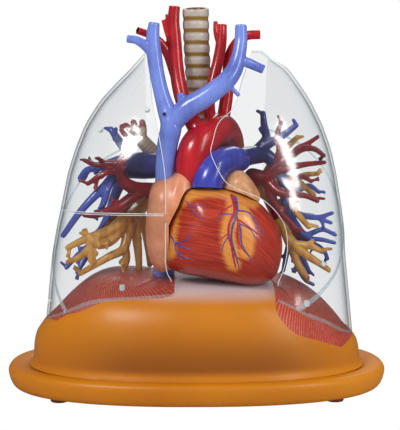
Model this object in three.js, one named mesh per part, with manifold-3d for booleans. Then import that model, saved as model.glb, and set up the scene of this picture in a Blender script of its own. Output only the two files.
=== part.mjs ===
// Heart and lung model: clear lung lobes round a painted heart, vessels and bronchial tree,
// all on a domed diaphragm and an oval base. Millimetres, +Z up, +X to the viewer's right,
// +Y away from the viewer. The origin is the middle of the footprint, at the feet's undersides.
import * as THREE from "three";
import Module from "manifold-3d";

const wasm = await Module();
wasm.setup();

// Driving sizes
const GAP = 0.3; // clearance between neighbouring pieces
const THROUGH = 5; // how far a cut runs past the face that it opens
const BEYOND = 500; // farther from the origin than any piece reaches
const PLATE = { halfWidth: 174, halfDepth: 110, power: 2.35, bottom: 4, top: 25 };
// The plate's rounded edge as [share of its thickness, how far it draws in]
const PLATE_EDGE = [[0, 8], [0.095, 3], [0.286, 0.4], [0.62, 0], [0.857, 1.8], [1, 6]];
const FOOT = { radius: 8, fromEnd: 52, fromSide: 48, pegRadius: 3, pegLength: 5 };
const HILL = { halfWidth: 151, halfDepth: 99, power: 2.3, wall: 9 };
// The crest line of the diaphragm as [share of its half width, height]
const HILL_CREST = [
  [-1, 25], [-0.987, 48], [-0.954, 60], [-0.887, 70], [-0.768, 85], [-0.656, 96], [-0.55, 102],
  [-0.444, 104], [-0.238, 106], [-0.126, 107], [0.132, 107], [0.331, 106], [0.437, 103], [0.523, 98],
  [0.642, 87], [0.781, 73], [0.907, 58], [0.967, 50], [0.987, 40], [1, 25],
];
// The two domes, each fromEnd inside the end of the diaphragm on its side
const DOME = { thickness: 3 };
const RIGHT_DOME = { side: -1, fromEnd: 18, y: 0, halfWidth: 52, halfDepth: 70, bump: 7, power: 2.2 };
const LEFT_DOME = { side: 1, fromEnd: 12, y: 0, halfWidth: 37, halfDepth: 68, bump: 10, power: 2 };
// A stud on each dome, at [x, y] from the dome's middle
const STUD = { radius: 2.6, height: 4, right: [15, -62], left: [-5, -57] };
const SHELL = { wall: 2, bottom: 40, power: 2.5, middleY: 1, kerf: 0.4, openBelow: 10, openMedial: 20 };
// Lungs, by height z: how far the side wall stays inside the diaphragm's end, and how far the
// front and the back walls reach in y. A margin is the cut edge next to the heart, as [x, z].
const RIGHT_LUNG = {
  side: -1,
  lateral: [
    [40, 10], [66, 12], [96, 15], [126, 18], [148, 22], [171, 27], [200, 33], [222, 40], [244, 49],
    [266, 63], [281, 77], [295, 91], [311, 105],
  ],
  medial: -16,
  margin: [
    [-22, 30], [-22, 109], [-25, 115], [-27, 124], [-27, 140], [-27, 195], [-28.5, 210], [-32, 231],
    [-38, 259],
    [-41, 284], [-43, 320],
  ],
  backMargin: -48,
};
const LEFT_LUNG = {
  side: 1,
  lateral: [
    [40, 5.5], [65, 8], [96, 11], [126, 14], [148, 15], [170, 18], [200, 23], [222, 28], [244, 36],
    [266, 47], [281, 57], [296, 68], [311, 91],
  ],
  medial: 8,
  margin: [
    [84, 30], [79, 70], [73, 82], [70, 95], [70, 107], [73, 114], [76.5, 126], [78, 141], [74, 160],
    [57, 179], [32, 190], [24, 195], [15, 210], [11, 221], [13, 231], [18, 246], [31, 259], [41, 287],
    [54, 320],
  ],
  backMargin: 66,
};
const LUNG_FRONT = [
  [40, -84], [80, -81], [100, -77], [167, -76], [195, -72], [210, -70], [231, -64], [259, -50], [284, -32],
  [300, -17], [311, -6],
];
const LUNG_BACK = [
  [40, 82], [100, 78], [150, 77], [200, 72], [231, 66], [259, 55], [284, 40], [300, 26], [311, 13],
];
// Fissures between the lobes: planes z = height + slopeX * x + slopeY * y
const RIGHT_OBLIQUE = { height: 154.4, slopeX: 0.1, slopeY: 1.2 };
const RIGHT_HORIZONTAL = { height: 167, slopeX: 0, slopeY: 0 };
const LEFT_OBLIQUE = { height: 177, slopeX: -0.104, slopeY: 1.227 };
// Plugs where the lobes snap together, in a lobe's front wall. across is the share of the way
// from the lung's medial plane to its widest x; a plug sits at height z or above its fissure.
const PLUG = { radius: 2, proud: 1 };
const PLUGS = {
  right_upper_plug: { lobe: "right_upper_lobe", lung: RIGHT_LUNG, across: 0.8, z: 240 },
  right_apex_plug: { lobe: "right_upper_lobe", lung: RIGHT_LUNG, across: 0.363, z: 258 },
  left_fissure_plug: {
    lobe: "left_upper_lobe", lung: LEFT_LUNG, across: 0.804, fissure: LEFT_OBLIQUE, above: 22,
  },
  right_rim_plug: { lobe: "right_lower_lobe", lung: RIGHT_LUNG, across: 0.974, z: 84 },
};
const TRACHEA = {
  radius: 12, bore: 9.2, boreDepth: 18, ringCount: 12, relief: 1.1, ringLength: 8, valley: 2.8,
};
const HEART_SPLIT_Y = -50;
const RIGHT_CAVITY = { centre: [-2, -50, 150], radii: [15, 20, 26] };
const LEFT_CAVITY = { centre: [42, -47, 145], radii: [16, 18, 27] };
const PEG = { radius: 2.2, reach: 6, places: [[20, 118], [20, 177]] };
const VALVE = { thickness: 2.4, rim: 2.6, pocket: 20 };

// Outlines seen from the front, as [x, z]
const VENTRICLES = {
  outline: [
    [-9, 187], [8, 190], [23, 188], [37, 184.5], [54, 176], [64, 166], [72, 154], [75.5, 140], [74, 123],
    [69, 110], [57, 103], [46, 102], [27, 105], [2, 110], [-17, 114], [-27, 121], [-29, 135], [-26, 153],
    [-17, 172],
  ],
  front: -86,
  back: -8,
};
const RIGHT_ATRIUM = {
  outline: [
    [-4, 201], [-13, 206], [-24, 199], [-36, 195], [-41, 188], [-44, 172], [-46, 154], [-45, 136],
    [-41, 121], [-34, 113], [-22, 116], [-14, 135], [-10, 155], [-2, 175],
  ],
  front: -68,
  back: -10,
};
const LEFT_AURICLE = {
  outline: [
    [22, 188], [25, 198], [33, 204], [41, 203], [47, 197], [52, 190], [56, 182], [54, 175], [44, 174],
    [32, 180],
  ],
  front: -62,
  back: -26,
};
const FRONT_WALL_LEFT = -24.5; // the front wall stops here, clear of the right lung's edge
const WALL_RUN = 0.2; // more room round the front wall, which slides out

// Vessels and airways: smooth tubes through [x, y, z, radius]
const AORTA = [
  [-2, -42, 178, 13], [-5, -44, 204, 14.6], [-1, -42, 223, 15.2], [10, -32, 235, 15], [21, -14, 240, 14.4],
  [29, 5, 233, 13.2], [33, 24, 218, 12], [31, 34, 195, 11.2], [28, 39, 166, 10.6], [25, 42, 128, 10.1],
  [22, 44, 96, 9.7],
];
const PULMONARY_TRUNK = [
  [7, -54, 180, 14.4], [10, -54, 196, 13.8], [18, -48, 208, 13.2], [29, -35, 213, 12.5], [38, -20, 212, 11],
];
const VENA_CAVA = [
  [-29, -38, 180, 8.5], [-28, -42, 209, 8.9], [-26, -43, 228, 9.3], [-23, -43, 244, 9.5],
  [-27, -40, 257, 8.2],
  [-31, -38, 270, 7], [-35, -36, 287, 6.6], [-38, -34, 308, 6.7], [-39, -33, 323, 5.9], [-38, -33, 333, 5],
];
const RIGHT_SUBCLAVIAN_VEIN = [
  [-38, -34, 306, 4.6], [-47, -34, 315, 4.4], [-54, -34, 319, 3.8], [-61, -34, 320, 3.6],
];
const LEFT_NECK_VEIN = [
  [-23, -43, 244, 8.8], [-10, -44, 258, 9.7], [3, -45, 266, 9.3], [15, -45, 274, 8.8], [26, -43, 283, 8.2],
  [33, -40, 293, 7.6], [37, -37, 306, 6.4], [39, -34, 319, 5.8], [39, -33, 331, 5.3],
];
const LEFT_SUBCLAVIAN_VEIN = [
  [38, -38, 301, 4.6], [45, -37, 299, 4.5], [52, -36, 296, 4.3], [59, -36, 293, 4],
];
const LEFT_VEIN_STUB = [[29, -43, 278, 2.4], [33, -43, 274, 2], [37, -43, 270, 1.9]];
const THYMIC_VEIN = [[-12, -44, 259, 3.7], [-14, -44, 267, 3.5], [-14, -44, 272, 3.4]];
const RIGHT_CAROTID = [
  [1, -38, 238, 7.8], [-8, -30, 255, 7.4], [-14, -24, 271, 7], [-18, -18, 293, 6.6], [-20, -14, 323, 6],
  [-21, -13, 336, 5.5], [-20, -13, 350, 5],
];
const RIGHT_SUBCLAVIAN = [
  [-19, -18, 287, 4.8], [-27, -14, 309, 4.4], [-35, -15, 320, 3.9], [-44, -19, 325, 3.5],
  [-53, -24, 328, 3.3],
];
const RIGHT_VERTEBRAL = [[-22, -14, 313, 2], [-27, -13, 326, 2], [-30, -12, 338, 2]];
const LEFT_CAROTID = [
  [13, -28, 242, 6], [11, -20, 262, 5.4], [15, -15, 284, 5.2], [19, -12, 300, 5.1], [22, -10, 316, 5],
  [23, -8, 334, 4.4],
];
const LEFT_VERTEBRAL = [[20, -10, 315, 2], [17, -10, 327, 2], [17, -9, 337, 2]];
const LEFT_SUBCLAVIAN = [
  [23, -6, 242, 6], [27, -2, 266, 6], [29, 0, 286, 5.6], [30, -2, 304, 5.2], [36, -8, 317, 4.8],
  [45, -12, 324, 4.4], [57, -14, 325, 4.2],
];
const TRACHEA_PATH = [[-1, -6, 349], [0, 0, 316], [2, 6, 284], [4, 12, 252], [6, 18, 219]];
const INFERIOR_CAVA = [[-27, -30, 128, 9.5], [-30, -22, 112, 10], [-31, -18, 96, 10]];
const LEFT_ATRIUM = { centre: [16, -1, 174], radii: [36, 20, 21] };
const RIGHT_ARTERY_TRUNK = [
  [32, -22, 209, 10.5], [16, -8, 206, 10.8], [-6, -2, 206, 11], [-29, 0, 206, 11.2], [-48, 0, 206, 12.4],
  [-63, -3, 206, 11.6],
];
const LEFT_ARTERY_TRUNK = [[36, -19, 212, 10], [48, -4, 215, 8.8], [60, 5, 216, 8]];
const RIGHT_BRONCHUS = [
  [2, 19, 212, 8.4], [-14, 20, 198, 8.2], [-30, 18, 182, 7.8], [-46, 14, 171, 7.2],
  [-64, 9, 161, 6],
];
const RIGHT_UPPER_BRONCHUS = [
  [-20, 18, 194, 6.4], [-36, 13, 212, 6.2], [-48, 6, 226, 5.4], [-56, 0, 238, 4.2],
];
const RIGHT_UPPER_TWIGS = [
  [[-55, 1, 236, 3.6], [-62, -4, 243, 2.6], [-67, -6, 250, 2]], [[-52, 4, 232, 3.4],
  [-56, 2, 246, 2.4], [-57, 0, 254, 1.8]],
  [[-51, 4, 231, 3.4], [-47, 2, 246, 2.4], [-49, 0, 256, 1.8]],
];
const LEFT_BRONCHUS = [[10, 19, 212, 8.2], [28, 21, 199, 7.8], [48, 20, 187, 7.2], [66, 14, 178, 6]];
const RIGHT_VEIN_ROOT = [[-16, -2, 178, 8], [-30, -5, 181, 8], [-44, -9, 183, 8], [-56, -15, 184, 7.2]];
const LEFT_VEIN_ROOT = [[46, -3, 184, 7.6], [52, -6, 190, 7.2], [60, -12, 194, 6.4]];

// Branches of the lung trees, from the root outwards, as [x, y, z, radius]. Their points were
// chosen for a diaphragm of one half width, and stretch past the lung's root with another.
const BRANCHES = { chosenAt: 151, root: 50 };
const RIGHT_ARTERY = [
  [
    [-57, -4, 209, 7.6], [-71, -14, 201, 6.2], [-82, -22, 189, 4.8], [-92, -26, 180, 3.9],
    [-105, -28, 166, 3.3], [-121, -24, 144, 2.6],
  ],
  [[-61, -2, 213, 6.2], [-83, -8, 207, 4.4], [-93, -10, 204, 3.5], [-101, -8, 202, 2.9],
  [-107, -8, 195, 2.3]],
  [[-77, -18, 196, 4.6], [-81, -24, 186, 3.8], [-84, -26, 174, 3.1], [-90, -24, 163, 2.5]],
  [
    [-63, 0, 204, 6.2], [-75, 10, 180, 4.8], [-84, 14, 155, 4.0], [-98, 14, 133, 3.2],
    [-112, 8, 121, 2.6], [-121, 2, 111, 2.1],
  ],
  [[-92, 14, 143, 3.4], [-102, 8, 122, 2.9], [-111, 2, 107, 2.2]],
  [[-61, 0, 215, 5.4], [-72, 4, 229, 4.0], [-79, 8, 239, 3.0]],
];
const RIGHT_BRONCHI = [
  [
    [-56, 10, 165, 6.4], [-63, -6, 160, 6.4], [-72, -20, 153, 5.8], [-82, -27, 147, 5.0],
    [-95, -29, 143, 4.2], [-107, -28, 138, 3.3], [-117, -26, 133, 2.5],
  ],
  [[-88, -28, 146, 4.2], [-96, -30, 134, 3.8], [-106, -30, 125, 3.1], [-117, -28, 120, 2.3]],
  [[-66, -14, 155, 5.2], [-77, -26, 140, 4.6], [-88, -31, 136, 3.8], [-97, -32, 143, 3.2]],
  [
    [-58, 0, 160, 5.4], [-63, -14, 146, 5.0], [-67, -22, 131, 4.3], [-79, -26, 125, 3.7],
    [-93, -26, 117, 3.1], [-106, -24, 109, 2.4],
  ],
  [[-66, -20, 134, 4.2], [-64, -20, 122, 3.5], [-67, -18, 111, 2.6]],
  [[-56, 6, 163, 5.6], [-56, -4, 146, 4.8], [-54, -8, 128, 3.9], [-53, -8, 111, 2.9]],
  [[-54, 14, 165, 5.0], [-48, 16, 144, 4.2], [-45, 16, 125, 3.4], [-44, 16, 112, 2.6]],
  [[-97, -30, 141, 3.4], [-95, -31, 130, 3.0], [-93, -30, 121, 2.3]],
];
const RIGHT_VEINS = [
  [
    [-46, -10, 184, 6.8], [-58, -19, 187, 6.2], [-67, -26, 194, 5.4], [-70, -29, 203, 4.9],
    [-67, -29, 213, 4.2], [-62, -26, 223, 3.4], [-63, -24, 232, 2.7], [-68, -22, 239, 2.1],
  ],
  [
    [-50, -13, 182, 6.2], [-60, -21, 177, 5.4], [-70, -29, 171, 4.6], [-80, -33, 167, 3.8],
    [-92, -34, 163, 2.9], [-101, -33, 163, 2.1],
  ],
  [[-69, -28, 201, 4.0], [-80, -30, 202, 3.3], [-89, -31, 197, 2.7], [-98, -30, 191, 2.0]],
  [[-68, -29, 209, 3.8], [-80, -28, 209, 3.2], [-91, -27, 208, 2.6], [-101, -26, 212, 2.0]],
  [[-58, -12, 178, 4.6], [-70, -12, 163, 3.8], [-82, -16, 152, 3.2], [-92, -20, 139, 2.6]],
];
const LEFT_ARTERY = [
  [
    [61, 6, 218, 6.8], [74, 6, 206, 6.0], [81, 4, 188, 5.1], [83, 0, 167, 4.4], [92, -6, 151, 3.6],
    [100, -10, 143, 3.0], [115, -14, 148, 2.3], [127, -14, 143, 1.8],
  ],
  [[57, 4, 220, 6.0], [64, 2, 231, 4.2], [62, 0, 243, 3.4], [61, 0, 254, 2.6]],
  [[60, 2, 222, 5.1], [70, 0, 228, 4.2], [81, -4, 235, 3.4], [91, -6, 243, 2.5]],
  [[85, 0, 163, 3.9], [95, -8, 161, 3.2], [111, -12, 159, 2.5], [124, -12, 163, 1.9]],
  [[106, -10, 160, 2.4], [115, -12, 157, 2.2], [123, -12, 154, 1.8]],
  [[93, -8, 149, 3.0], [102, -14, 140, 2.5], [114, -16, 139, 2.2], [126, -16, 136, 1.8]],
  [[86, 0, 155, 3.6], [95, -2, 137, 3.1], [107, -4, 134, 2.6], [117, -6, 128, 2.2], [121, -6, 120, 1.8]],
  [[84, 4, 163, 3.9], [88, 10, 138, 3.4], [100, 10, 117, 2.8], [106, 10, 105, 2.1]],
  [[88, 10, 138, 3.3], [94, 14, 115, 2.8], [102, 14, 98, 2.2], [110, 14, 93, 1.7]],
  [[81, 4, 188, 3.9], [94, -4, 184, 3.0], [103, -8, 188, 2.4], [112, -10, 182, 1.9]],
  [[87, 10, 136, 2.9], [84, 16, 118, 2.5], [82, 18, 106, 2.0]],
];
const LEFT_BRONCHI = [
  [
    [67, 14, 177, 6.2], [73, 4, 163, 5.8], [79, -8, 150, 5.2], [86, -18, 138, 4.7], [98, -23, 127, 4.0],
    [110, -24, 119, 3.2], [120, -23, 112, 2.4],
  ],
  [[81, -12, 146, 4.8], [88, -18, 128, 4.2], [94, -20, 114, 3.5], [101, -20, 104, 2.5]],
  [[67, 14, 188, 5.5], [81, 8, 193, 4.4], [92, 0, 194, 3.6], [101, -8, 198, 2.8], [111, -10, 199, 2.1]],
  [[84, 6, 193, 3.7], [94, -6, 190, 3.1], [107, -12, 180, 2.4]],
  [[73, 8, 169, 4.5], [86, 0, 173, 3.7], [91, -12, 164, 3.2], [102, -18, 151, 2.6]],
  [[65, 12, 196, 5.1], [73, 8, 211, 4.3], [83, 4, 222, 3.4], [93, 0, 232, 2.5]],
  [[90, -20, 135, 4.0], [103, -25, 134, 3.3], [114, -25, 129, 2.4]],
];
const LEFT_VEINS = [
  [
    [51, -8, 197, 7.2], [63, -14, 196, 6.6], [72, -18, 205, 5.2], [83, -20, 214, 4.0], [95, -22, 222, 3.2],
    [106, -22, 222, 2.6], [115, -22, 216, 1.9],
  ],
  [[84, -20, 215, 3.4], [92, -24, 223, 2.9], [100, -24, 227, 2.4], [109, -24, 233, 1.9]],
  [[72, -18, 205, 4.2], [75, -20, 221, 3.3], [73, -18, 235, 2.7], [77, -18, 247, 2.0]],
  [[68, -16, 201, 4.4], [82, -24, 204, 3.5], [96, -26, 208, 2.8], [115, -26, 210, 2.0]],
  [[65, -14, 192, 5.2], [75, -22, 183, 4.4], [86, -26, 181, 3.4], [98, -26, 180, 2.7],
  [109, -26, 175, 2.0]],
  [[84, -26, 182, 2.9], [93, -28, 198, 2.4], [103, -28, 193, 1.9]],
  [[65, -12, 190, 5.2], [70, -18, 174, 4.3], [77, -22, 163, 3.3], [85, -24, 155, 2.6], [90, -24, 149, 2.1]],
  [[67, -10, 180, 4.6], [73, -4, 160, 3.8], [83, -6, 148, 3.0], [97, -10, 141, 2.4], [108, -10, 133, 1.9]],
];

// Solids from closed triangle lists
function solid(points, faces) {
  const vertProperties = new Float32Array(points.flat());
  const triVerts = new Uint32Array(faces.flat());
  const made = new wasm.Manifold(new wasm.Mesh({ numProp: 3, vertProperties, triVerts }));
  if (made.volume() >= 0) return made;
  for (let i = 0; i < triVerts.length; i += 3) {
    [triVerts[i + 1], triVerts[i + 2]] = [triVerts[i + 2], triVerts[i + 1]];
  }
  return new wasm.Manifold(new wasm.Mesh({ numProp: 3, vertProperties, triVerts }));
}

const join = (solids) => solids.reduce((all, one) => all.add(one));

// The largest connected body of a solid: what is left when a cut frees a twig's tip.
function mainBody(cut) {
  const bodies = cut.decompose();
  return bodies.reduce((best, one) => (one.volume() > best.volume() ? one : best));
}

// Rings of equal point counts joined into a closed solid, capped flat at both ends.
function loft(rings) {
  const count = rings[0].length;
  const points = rings.flat();
  const faces = [];
  for (let r = 0; r + 1 < rings.length; r += 1) {
    for (let i = 0; i < count; i += 1) {
      const a = r * count + i;
      const b = r * count + ((i + 1) % count);
      faces.push([a, b, b + count], [a, b + count, a + count]);
    }
  }
  for (const [ring, turned] of [[0, true], [rings.length - 1, false]]) {
    const centre = points.length;
    const middle = new THREE.Vector3();
    rings[ring].forEach((p) => middle.add(new THREE.Vector3(...p)));
    points.push(middle.divideScalar(count).toArray());
    for (let i = 0; i < count; i += 1) {
      const a = ring * count + i;
      const b = ring * count + ((i + 1) % count);
      faces.push(turned ? [b, a, centre] : [a, b, centre]);
    }
  }
  return solid(points, faces);
}

// A tube whose radius changes along a smooth curve through [x, y, z, radius] points.
function tube(path, grow = 0, sides = 8, steps = 4) {
  const curve = new THREE.CatmullRomCurve3(path.map((p) => new THREE.Vector3(p[0], p[1], p[2])));
  const count = (path.length - 1) * steps;
  const frames = curve.computeFrenetFrames(count, false);
  const rings = [];
  for (let k = 0; k <= count; k += 1) {
    const t = k / count;
    const at = curve.getPoint(t);
    const piece = Math.min(Math.floor(t * (path.length - 1)), path.length - 2);
    const f = t * (path.length - 1) - piece;
    const radius = path[piece][3] * (1 - f) + path[piece + 1][3] * f + grow;
    const end = k === 0 ? -grow : k === count ? grow : 0;
    const tangent = curve.getTangent(t);
    const ring = [];
    for (let i = 0; i < sides; i += 1) {
      const angle = (i / sides) * 2 * Math.PI;
      const p = at.clone().addScaledVector(tangent, end);
      p.addScaledVector(frames.normals[k], Math.cos(angle) * radius);
      p.addScaledVector(frames.binormals[k], Math.sin(angle) * radius);
      ring.push(p.toArray());
    }
    rings.push(ring);
  }
  return loft(rings);
}

// A closed front outline [x, z], swollen in depth like a pillow between two y planes.
function pillow(outline, front, back, grow = 0, power = 2.4, rings = 8, points = 26) {
  const flat = outline.map((p) => new THREE.Vector3(p[0], 0, p[1]));
  const curve = new THREE.CatmullRomCurve3(flat, true);
  const around = Array.from({ length: points }, (_, i) => curve.getPoint(i / points));
  const centre = new THREE.Vector3();
  around.forEach((p) => centre.addScaledVector(p, 1 / points));
  const middle = (front + back) / 2;
  const half = (back - front) / 2 + grow;
  const loftRings = [];
  for (let k = 0; k <= rings; k += 1) {
    const turn = (k / rings) * 0.96 + 0.02;
    const depth = -Math.sign(Math.cos(turn * Math.PI)) * Math.abs(Math.cos(turn * Math.PI)) ** (2 / power);
    const scale = Math.sin(turn * Math.PI) ** (2 / power);
    loftRings.push(around.map((p) => {
      const out = p.clone().sub(centre);
      const reach = out.length();
      out.multiplyScalar((scale * (reach + grow)) / reach);
      return [centre.x + out.x, middle + depth * half, centre.z + out.z];
    }));
  }
  return loft(loftRings);
}

// An ellipsoid with its axes along X, Y and Z.
function ellipsoid(centre, radii, grow = 0, across = 14, rings = 9) {
  const loftRings = [];
  for (let k = 0; k <= rings; k += 1) {
    const turn = ((k / rings) * 0.94 + 0.03) * Math.PI;
    loftRings.push(Array.from({ length: across }, (_, i) => {
      const angle = (i / across) * 2 * Math.PI;
      return [
        centre[0] + (radii[0] + grow) * Math.sin(turn) * Math.cos(angle),
        centre[1] + (radii[1] + grow) * Math.sin(turn) * Math.sin(angle),
        centre[2] - (radii[2] + grow) * Math.cos(turn),
      ];
    }));
  }
  return loft(loftRings);
}

// An upright solid of revolution from a closed [radius, z] profile that starts and ends on the axis.
function turned(profile, segments = 20) {
  const g = new THREE.LatheGeometry(profile.map((p) => new THREE.Vector2(p[0], p[1])), segments);
  const p = g.getAttribute("position");
  const found = new Map();
  const points = [];
  const index = Array.from({ length: p.count }, (_, i) => {
    const at = [p.getX(i), -p.getZ(i), p.getY(i)];
    const key = at.map((v) => Math.round(v * 1000) + 0).join(" ");
    if (!found.has(key)) {
      found.set(key, points.length);
      points.push(at);
    }
    return found.get(key);
  });
  const faces = [];
  for (let i = 0; i < g.index.count; i += 3) {
    const face = [0, 1, 2].map((k) => index[g.index.getX(i + k)]);
    if (new Set(face).size === 3) faces.push(face);
  }
  return solid(points, faces);
}

// A cylinder along a direction, from a point, as a straight tube of 12 sides.
function rod(from, direction, length, radius, sides = 12) {
  const to = from.map((v, i) => v + direction[i] * length);
  return tube([[...from, radius], [...to, radius]], 0, sides, 1);
}

// A box between two corners.
function block(low, high) {
  const corners = [];
  for (const z of [low[2], high[2]]) {
    corners.push([[low[0], low[1], z], [high[0], low[1], z], [high[0], high[1], z], [low[0], high[1], z]]);
  }
  return loft(corners);
}

// Everything above (or below) the plane z = height + slopeX * x + slopeY * y.
function halfSpace({ height, slopeX, slopeY }, above, offset) {
  const shift = offset * Math.hypot(1, slopeX, slopeY) * (above ? 1 : -1);
  const edge = [[-BEYOND, -BEYOND], [BEYOND, -BEYOND], [BEYOND, BEYOND], [-BEYOND, BEYOND]];
  const onPlane = edge.map(([x, y]) => [x, y, height + slopeX * x + slopeY * y + shift]);
  const far = edge.map(([x, y]) => [x, y, above ? 4 * BEYOND : -4 * BEYOND]);
  return above ? loft([onPlane, far]) : loft([far, onPlane]);
}

const interpolate = (table, at) => {
  const last = table.length - 1;
  if (at <= table[0][0]) return table[0][1];
  if (at >= table[last][0]) return table[last][1];
  const k = table.findIndex((row) => row[0] > at);
  const [a, b] = [table[k - 1], table[k]];
  return a[1] + ((b[1] - a[1]) * (at - a[0])) / (b[0] - a[0]);
};

// Half depth of the superellipse outline at x
function outlineY(x, shape) {
  const share = Math.min(Math.abs(x) / shape.halfWidth, 1);
  return shape.halfDepth * (1 - share ** shape.power) ** (1 / shape.power);
}

const lateralX = (lung, z) => lung.side * (HILL.halfWidth - interpolate(lung.lateral, z));

function superellipse(shape, inset, count, z, centre = [0, 0]) {
  return Array.from({ length: count }, (_, i) => {
    const angle = (i / count) * 2 * Math.PI;
    const c = Math.cos(angle);
    const s = Math.sin(angle);
    return [
      centre[0] + (shape.halfWidth - inset) * Math.sign(c) * Math.abs(c) ** (2 / shape.power),
      centre[1] + (shape.halfDepth - inset) * Math.sign(s) * Math.abs(s) ** (2 / shape.power),
      z,
    ];
  });
}

// Catmull-Rom reading of a [place, value] table
function smooth(table, at) {
  const last = table.length - 1;
  if (at <= table[0][0]) return table[0][1];
  if (at >= table[last][0]) return table[last][1];
  const k = table.findIndex((row) => row[0] > at) - 1;
  const [p0, p1] = [table[Math.max(k - 1, 0)], table[k]];
  const [p2, p3] = [table[k + 1], table[Math.min(k + 2, last)]];
  const span = p2[0] - p1[0];
  const m1 = ((p2[1] - p0[1]) / (p2[0] - p0[0])) * span;
  const m2 = ((p3[1] - p1[1]) / (p3[0] - p1[0])) * span;
  const t = (at - p1[0]) / span;
  return p1[1] * (2 * t ** 3 - 3 * t * t + 1) + m1 * (t ** 3 - 2 * t * t + t)
    + p2[1] * (-2 * t ** 3 + 3 * t * t) + m2 * (t ** 3 - t * t);
}

// Diaphragm surface: the crest line's height, falling to the plate along a rounded section
function hillHeight(x, y) {
  const share = Math.min(Math.abs(y) / Math.max(outlineY(x, HILL), 1e-6), 1);
  const crest = smooth(HILL_CREST, x / HILL.halfWidth);
  return PLATE.top + (crest - PLATE.top) * (1 - share ** 5) ** 0.4;
}

// The diaphragm as a solid, grown (or shrunk) all round, down to a flat underside, with one
// ring of points for each share of its outline
const OUTSIDE_RINGS = [1, 0.995, 0.975, 0.94, 0.88, 0.78, 0.62, 0.36, 0.1];
const HOLLOW_RINGS = [1, 0.97, 0.85, 0.6, 0.2];

function hillSolid(grow, bottom, shares = OUTSIDE_RINGS, count = 32) {
  const shape = { ...HILL, halfWidth: HILL.halfWidth + grow, halfDepth: HILL.halfDepth + grow };
  const rings = [superellipse(shape, 0, count, bottom)];
  for (const share of shares) {
    rings.push(superellipse(HILL, 0, count, 0).map(([x, y]) => [
      x * share * (1 + grow / HILL.halfWidth),
      y * share * (1 + grow / HILL.halfDepth),
      Math.max(hillHeight(x * share, y * share) + grow, bottom + 0.5),
    ]));
  }
  return loft(rings);
}

const hillCut = hillSolid(GAP, -THROUGH);

function makePlate() {
  const thickness = PLATE.top - PLATE.bottom;
  const rings = PLATE_EDGE.map(([share, inset]) => (
    superellipse(PLATE, inset, 36, PLATE.bottom + share * thickness)
  ));
  const sockets = footPlaces().map(([x, y]) => rod(
    [x, y, PLATE.bottom - THROUGH], [0, 0, 1], THROUGH + FOOT.pegLength + GAP, FOOT.pegRadius + GAP,
  ));
  return loft(rings).subtract(join(sockets));
}

function footPlaces() {
  const x = PLATE.halfWidth - FOOT.fromEnd;
  const y = PLATE.halfDepth - FOOT.fromSide;
  return [[-x, -y], [x, -y], [-x, y], [x, y]];
}

function makeFoot([x, y]) {
  const top = PLATE.bottom - GAP;
  const profile = [
    [0, 0], [FOOT.radius - 1, 0], [FOOT.radius, 1], [FOOT.radius, top], [FOOT.pegRadius, top],
    [FOOT.pegRadius, PLATE.bottom + FOOT.pegLength], [0, PLATE.bottom + FOOT.pegLength],
  ];
  return turned(profile, 12).translate([x, y, 0]);
}

const domeX = (dome) => dome.side * (HILL.halfWidth - dome.fromEnd - dome.halfWidth);

// Points over a dome's loop, shrunk to a share of it, at a height given by the place and the share
function domeRing(dome, grow, share, height, count = 26) {
  const loop = { ...dome, halfWidth: dome.halfWidth + grow, halfDepth: dome.halfDepth + grow };
  return superellipse(loop, 0, count, 0).map(([x, y]) => {
    const at = [domeX(dome) + x * share, dome.y + y * share];
    return [...at, height(at, share)];
  });
}

// One dome: a cap that follows the diaphragm and swells above it in its loop
const DOME_RINGS = [0.08, 0.4, 0.72, 0.92, 1];

function domeUnderside(dome, grow) {
  const under = ([x, y]) => hillHeight(x, y) - DOME.thickness - grow;
  return DOME_RINGS.map((share) => domeRing(dome, grow, share, under));
}

function domeSolid(dome, grow = 0) {
  const over = ([x, y], share) => hillHeight(x, y) + dome.bump * (1 - share * share) + grow;
  const upper = [...DOME_RINGS].reverse().map((share) => domeRing(dome, grow, share, over));
  return loft([...domeUnderside(dome, grow), ...upper]);
}

// The seat that a dome needs in the diaphragm, open above
function domeSeat(dome) {
  const sky = domeRing(dome, GAP, 1, () => BEYOND);
  return loft([...domeUnderside(dome, GAP), sky]);
}

function makeDiaphragm() {
  const floor = PLATE.top + GAP;
  const hollow = hillSolid(-HILL.wall, floor - THROUGH, HOLLOW_RINGS, 20);
  return hillSolid(0, floor).subtract(hollow).subtract(domeSeat(RIGHT_DOME)).subtract(domeSeat(LEFT_DOME));
}

// One lung's outside (inset 0) or inside (inset = the wall), as a solid open to the middle when cut
function lungSolid(lung, inset) {
  const { side } = lung;
  const arc = 15;
  const levels = lung.lateral.map((row) => row[0]);
  const medial = lung.medial - side * (inset > 0 ? SHELL.openMedial : 0);
  const rings = levels.map((z) => {
    const lateral = lateralX(lung, z) - side * inset;
    const front = interpolate(LUNG_FRONT, z) + inset;
    const back = interpolate(LUNG_BACK, z) - inset;
    const height = z - (inset > 0 && z === SHELL.bottom ? SHELL.openBelow : inset);
    const ring = [];
    for (let i = 0; i <= arc; i += 1) {
      const angle = (i / arc) * Math.PI;
      const out = Math.max(Math.sin(angle), 0) ** (2 / SHELL.power);
      const along = Math.abs(Math.cos(angle)) ** (2 / SHELL.power);
      const reach = angle < Math.PI / 2 ? front - SHELL.middleY : back - SHELL.middleY;
      const x = lung.medial + (lateral - lung.medial) * out;
      ring.push([i === 0 || i === arc ? medial : x, SHELL.middleY + reach * along, height]);
    }
    return ring;
  });
  return loft(rings);
}

// What lies to the middle of a lung's cut edge, in front of or behind y = 0
function marginCut(lung, margin, yLow, yHigh) {
  const curve = new THREE.CatmullRomCurve3(margin.map(([x, z]) => new THREE.Vector3(x, 0, z)));
  const edge = curve.getPoints(34).map((p) => [p.x, p.z]);
  const far = -lung.side * BEYOND;
  const outline = [...edge, [far, edge[edge.length - 1][1]], [far, edge[0][1]]];
  return loft([yLow, yHigh].map((y) => outline.map(([x, z]) => [x, y, z])));
}

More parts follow.
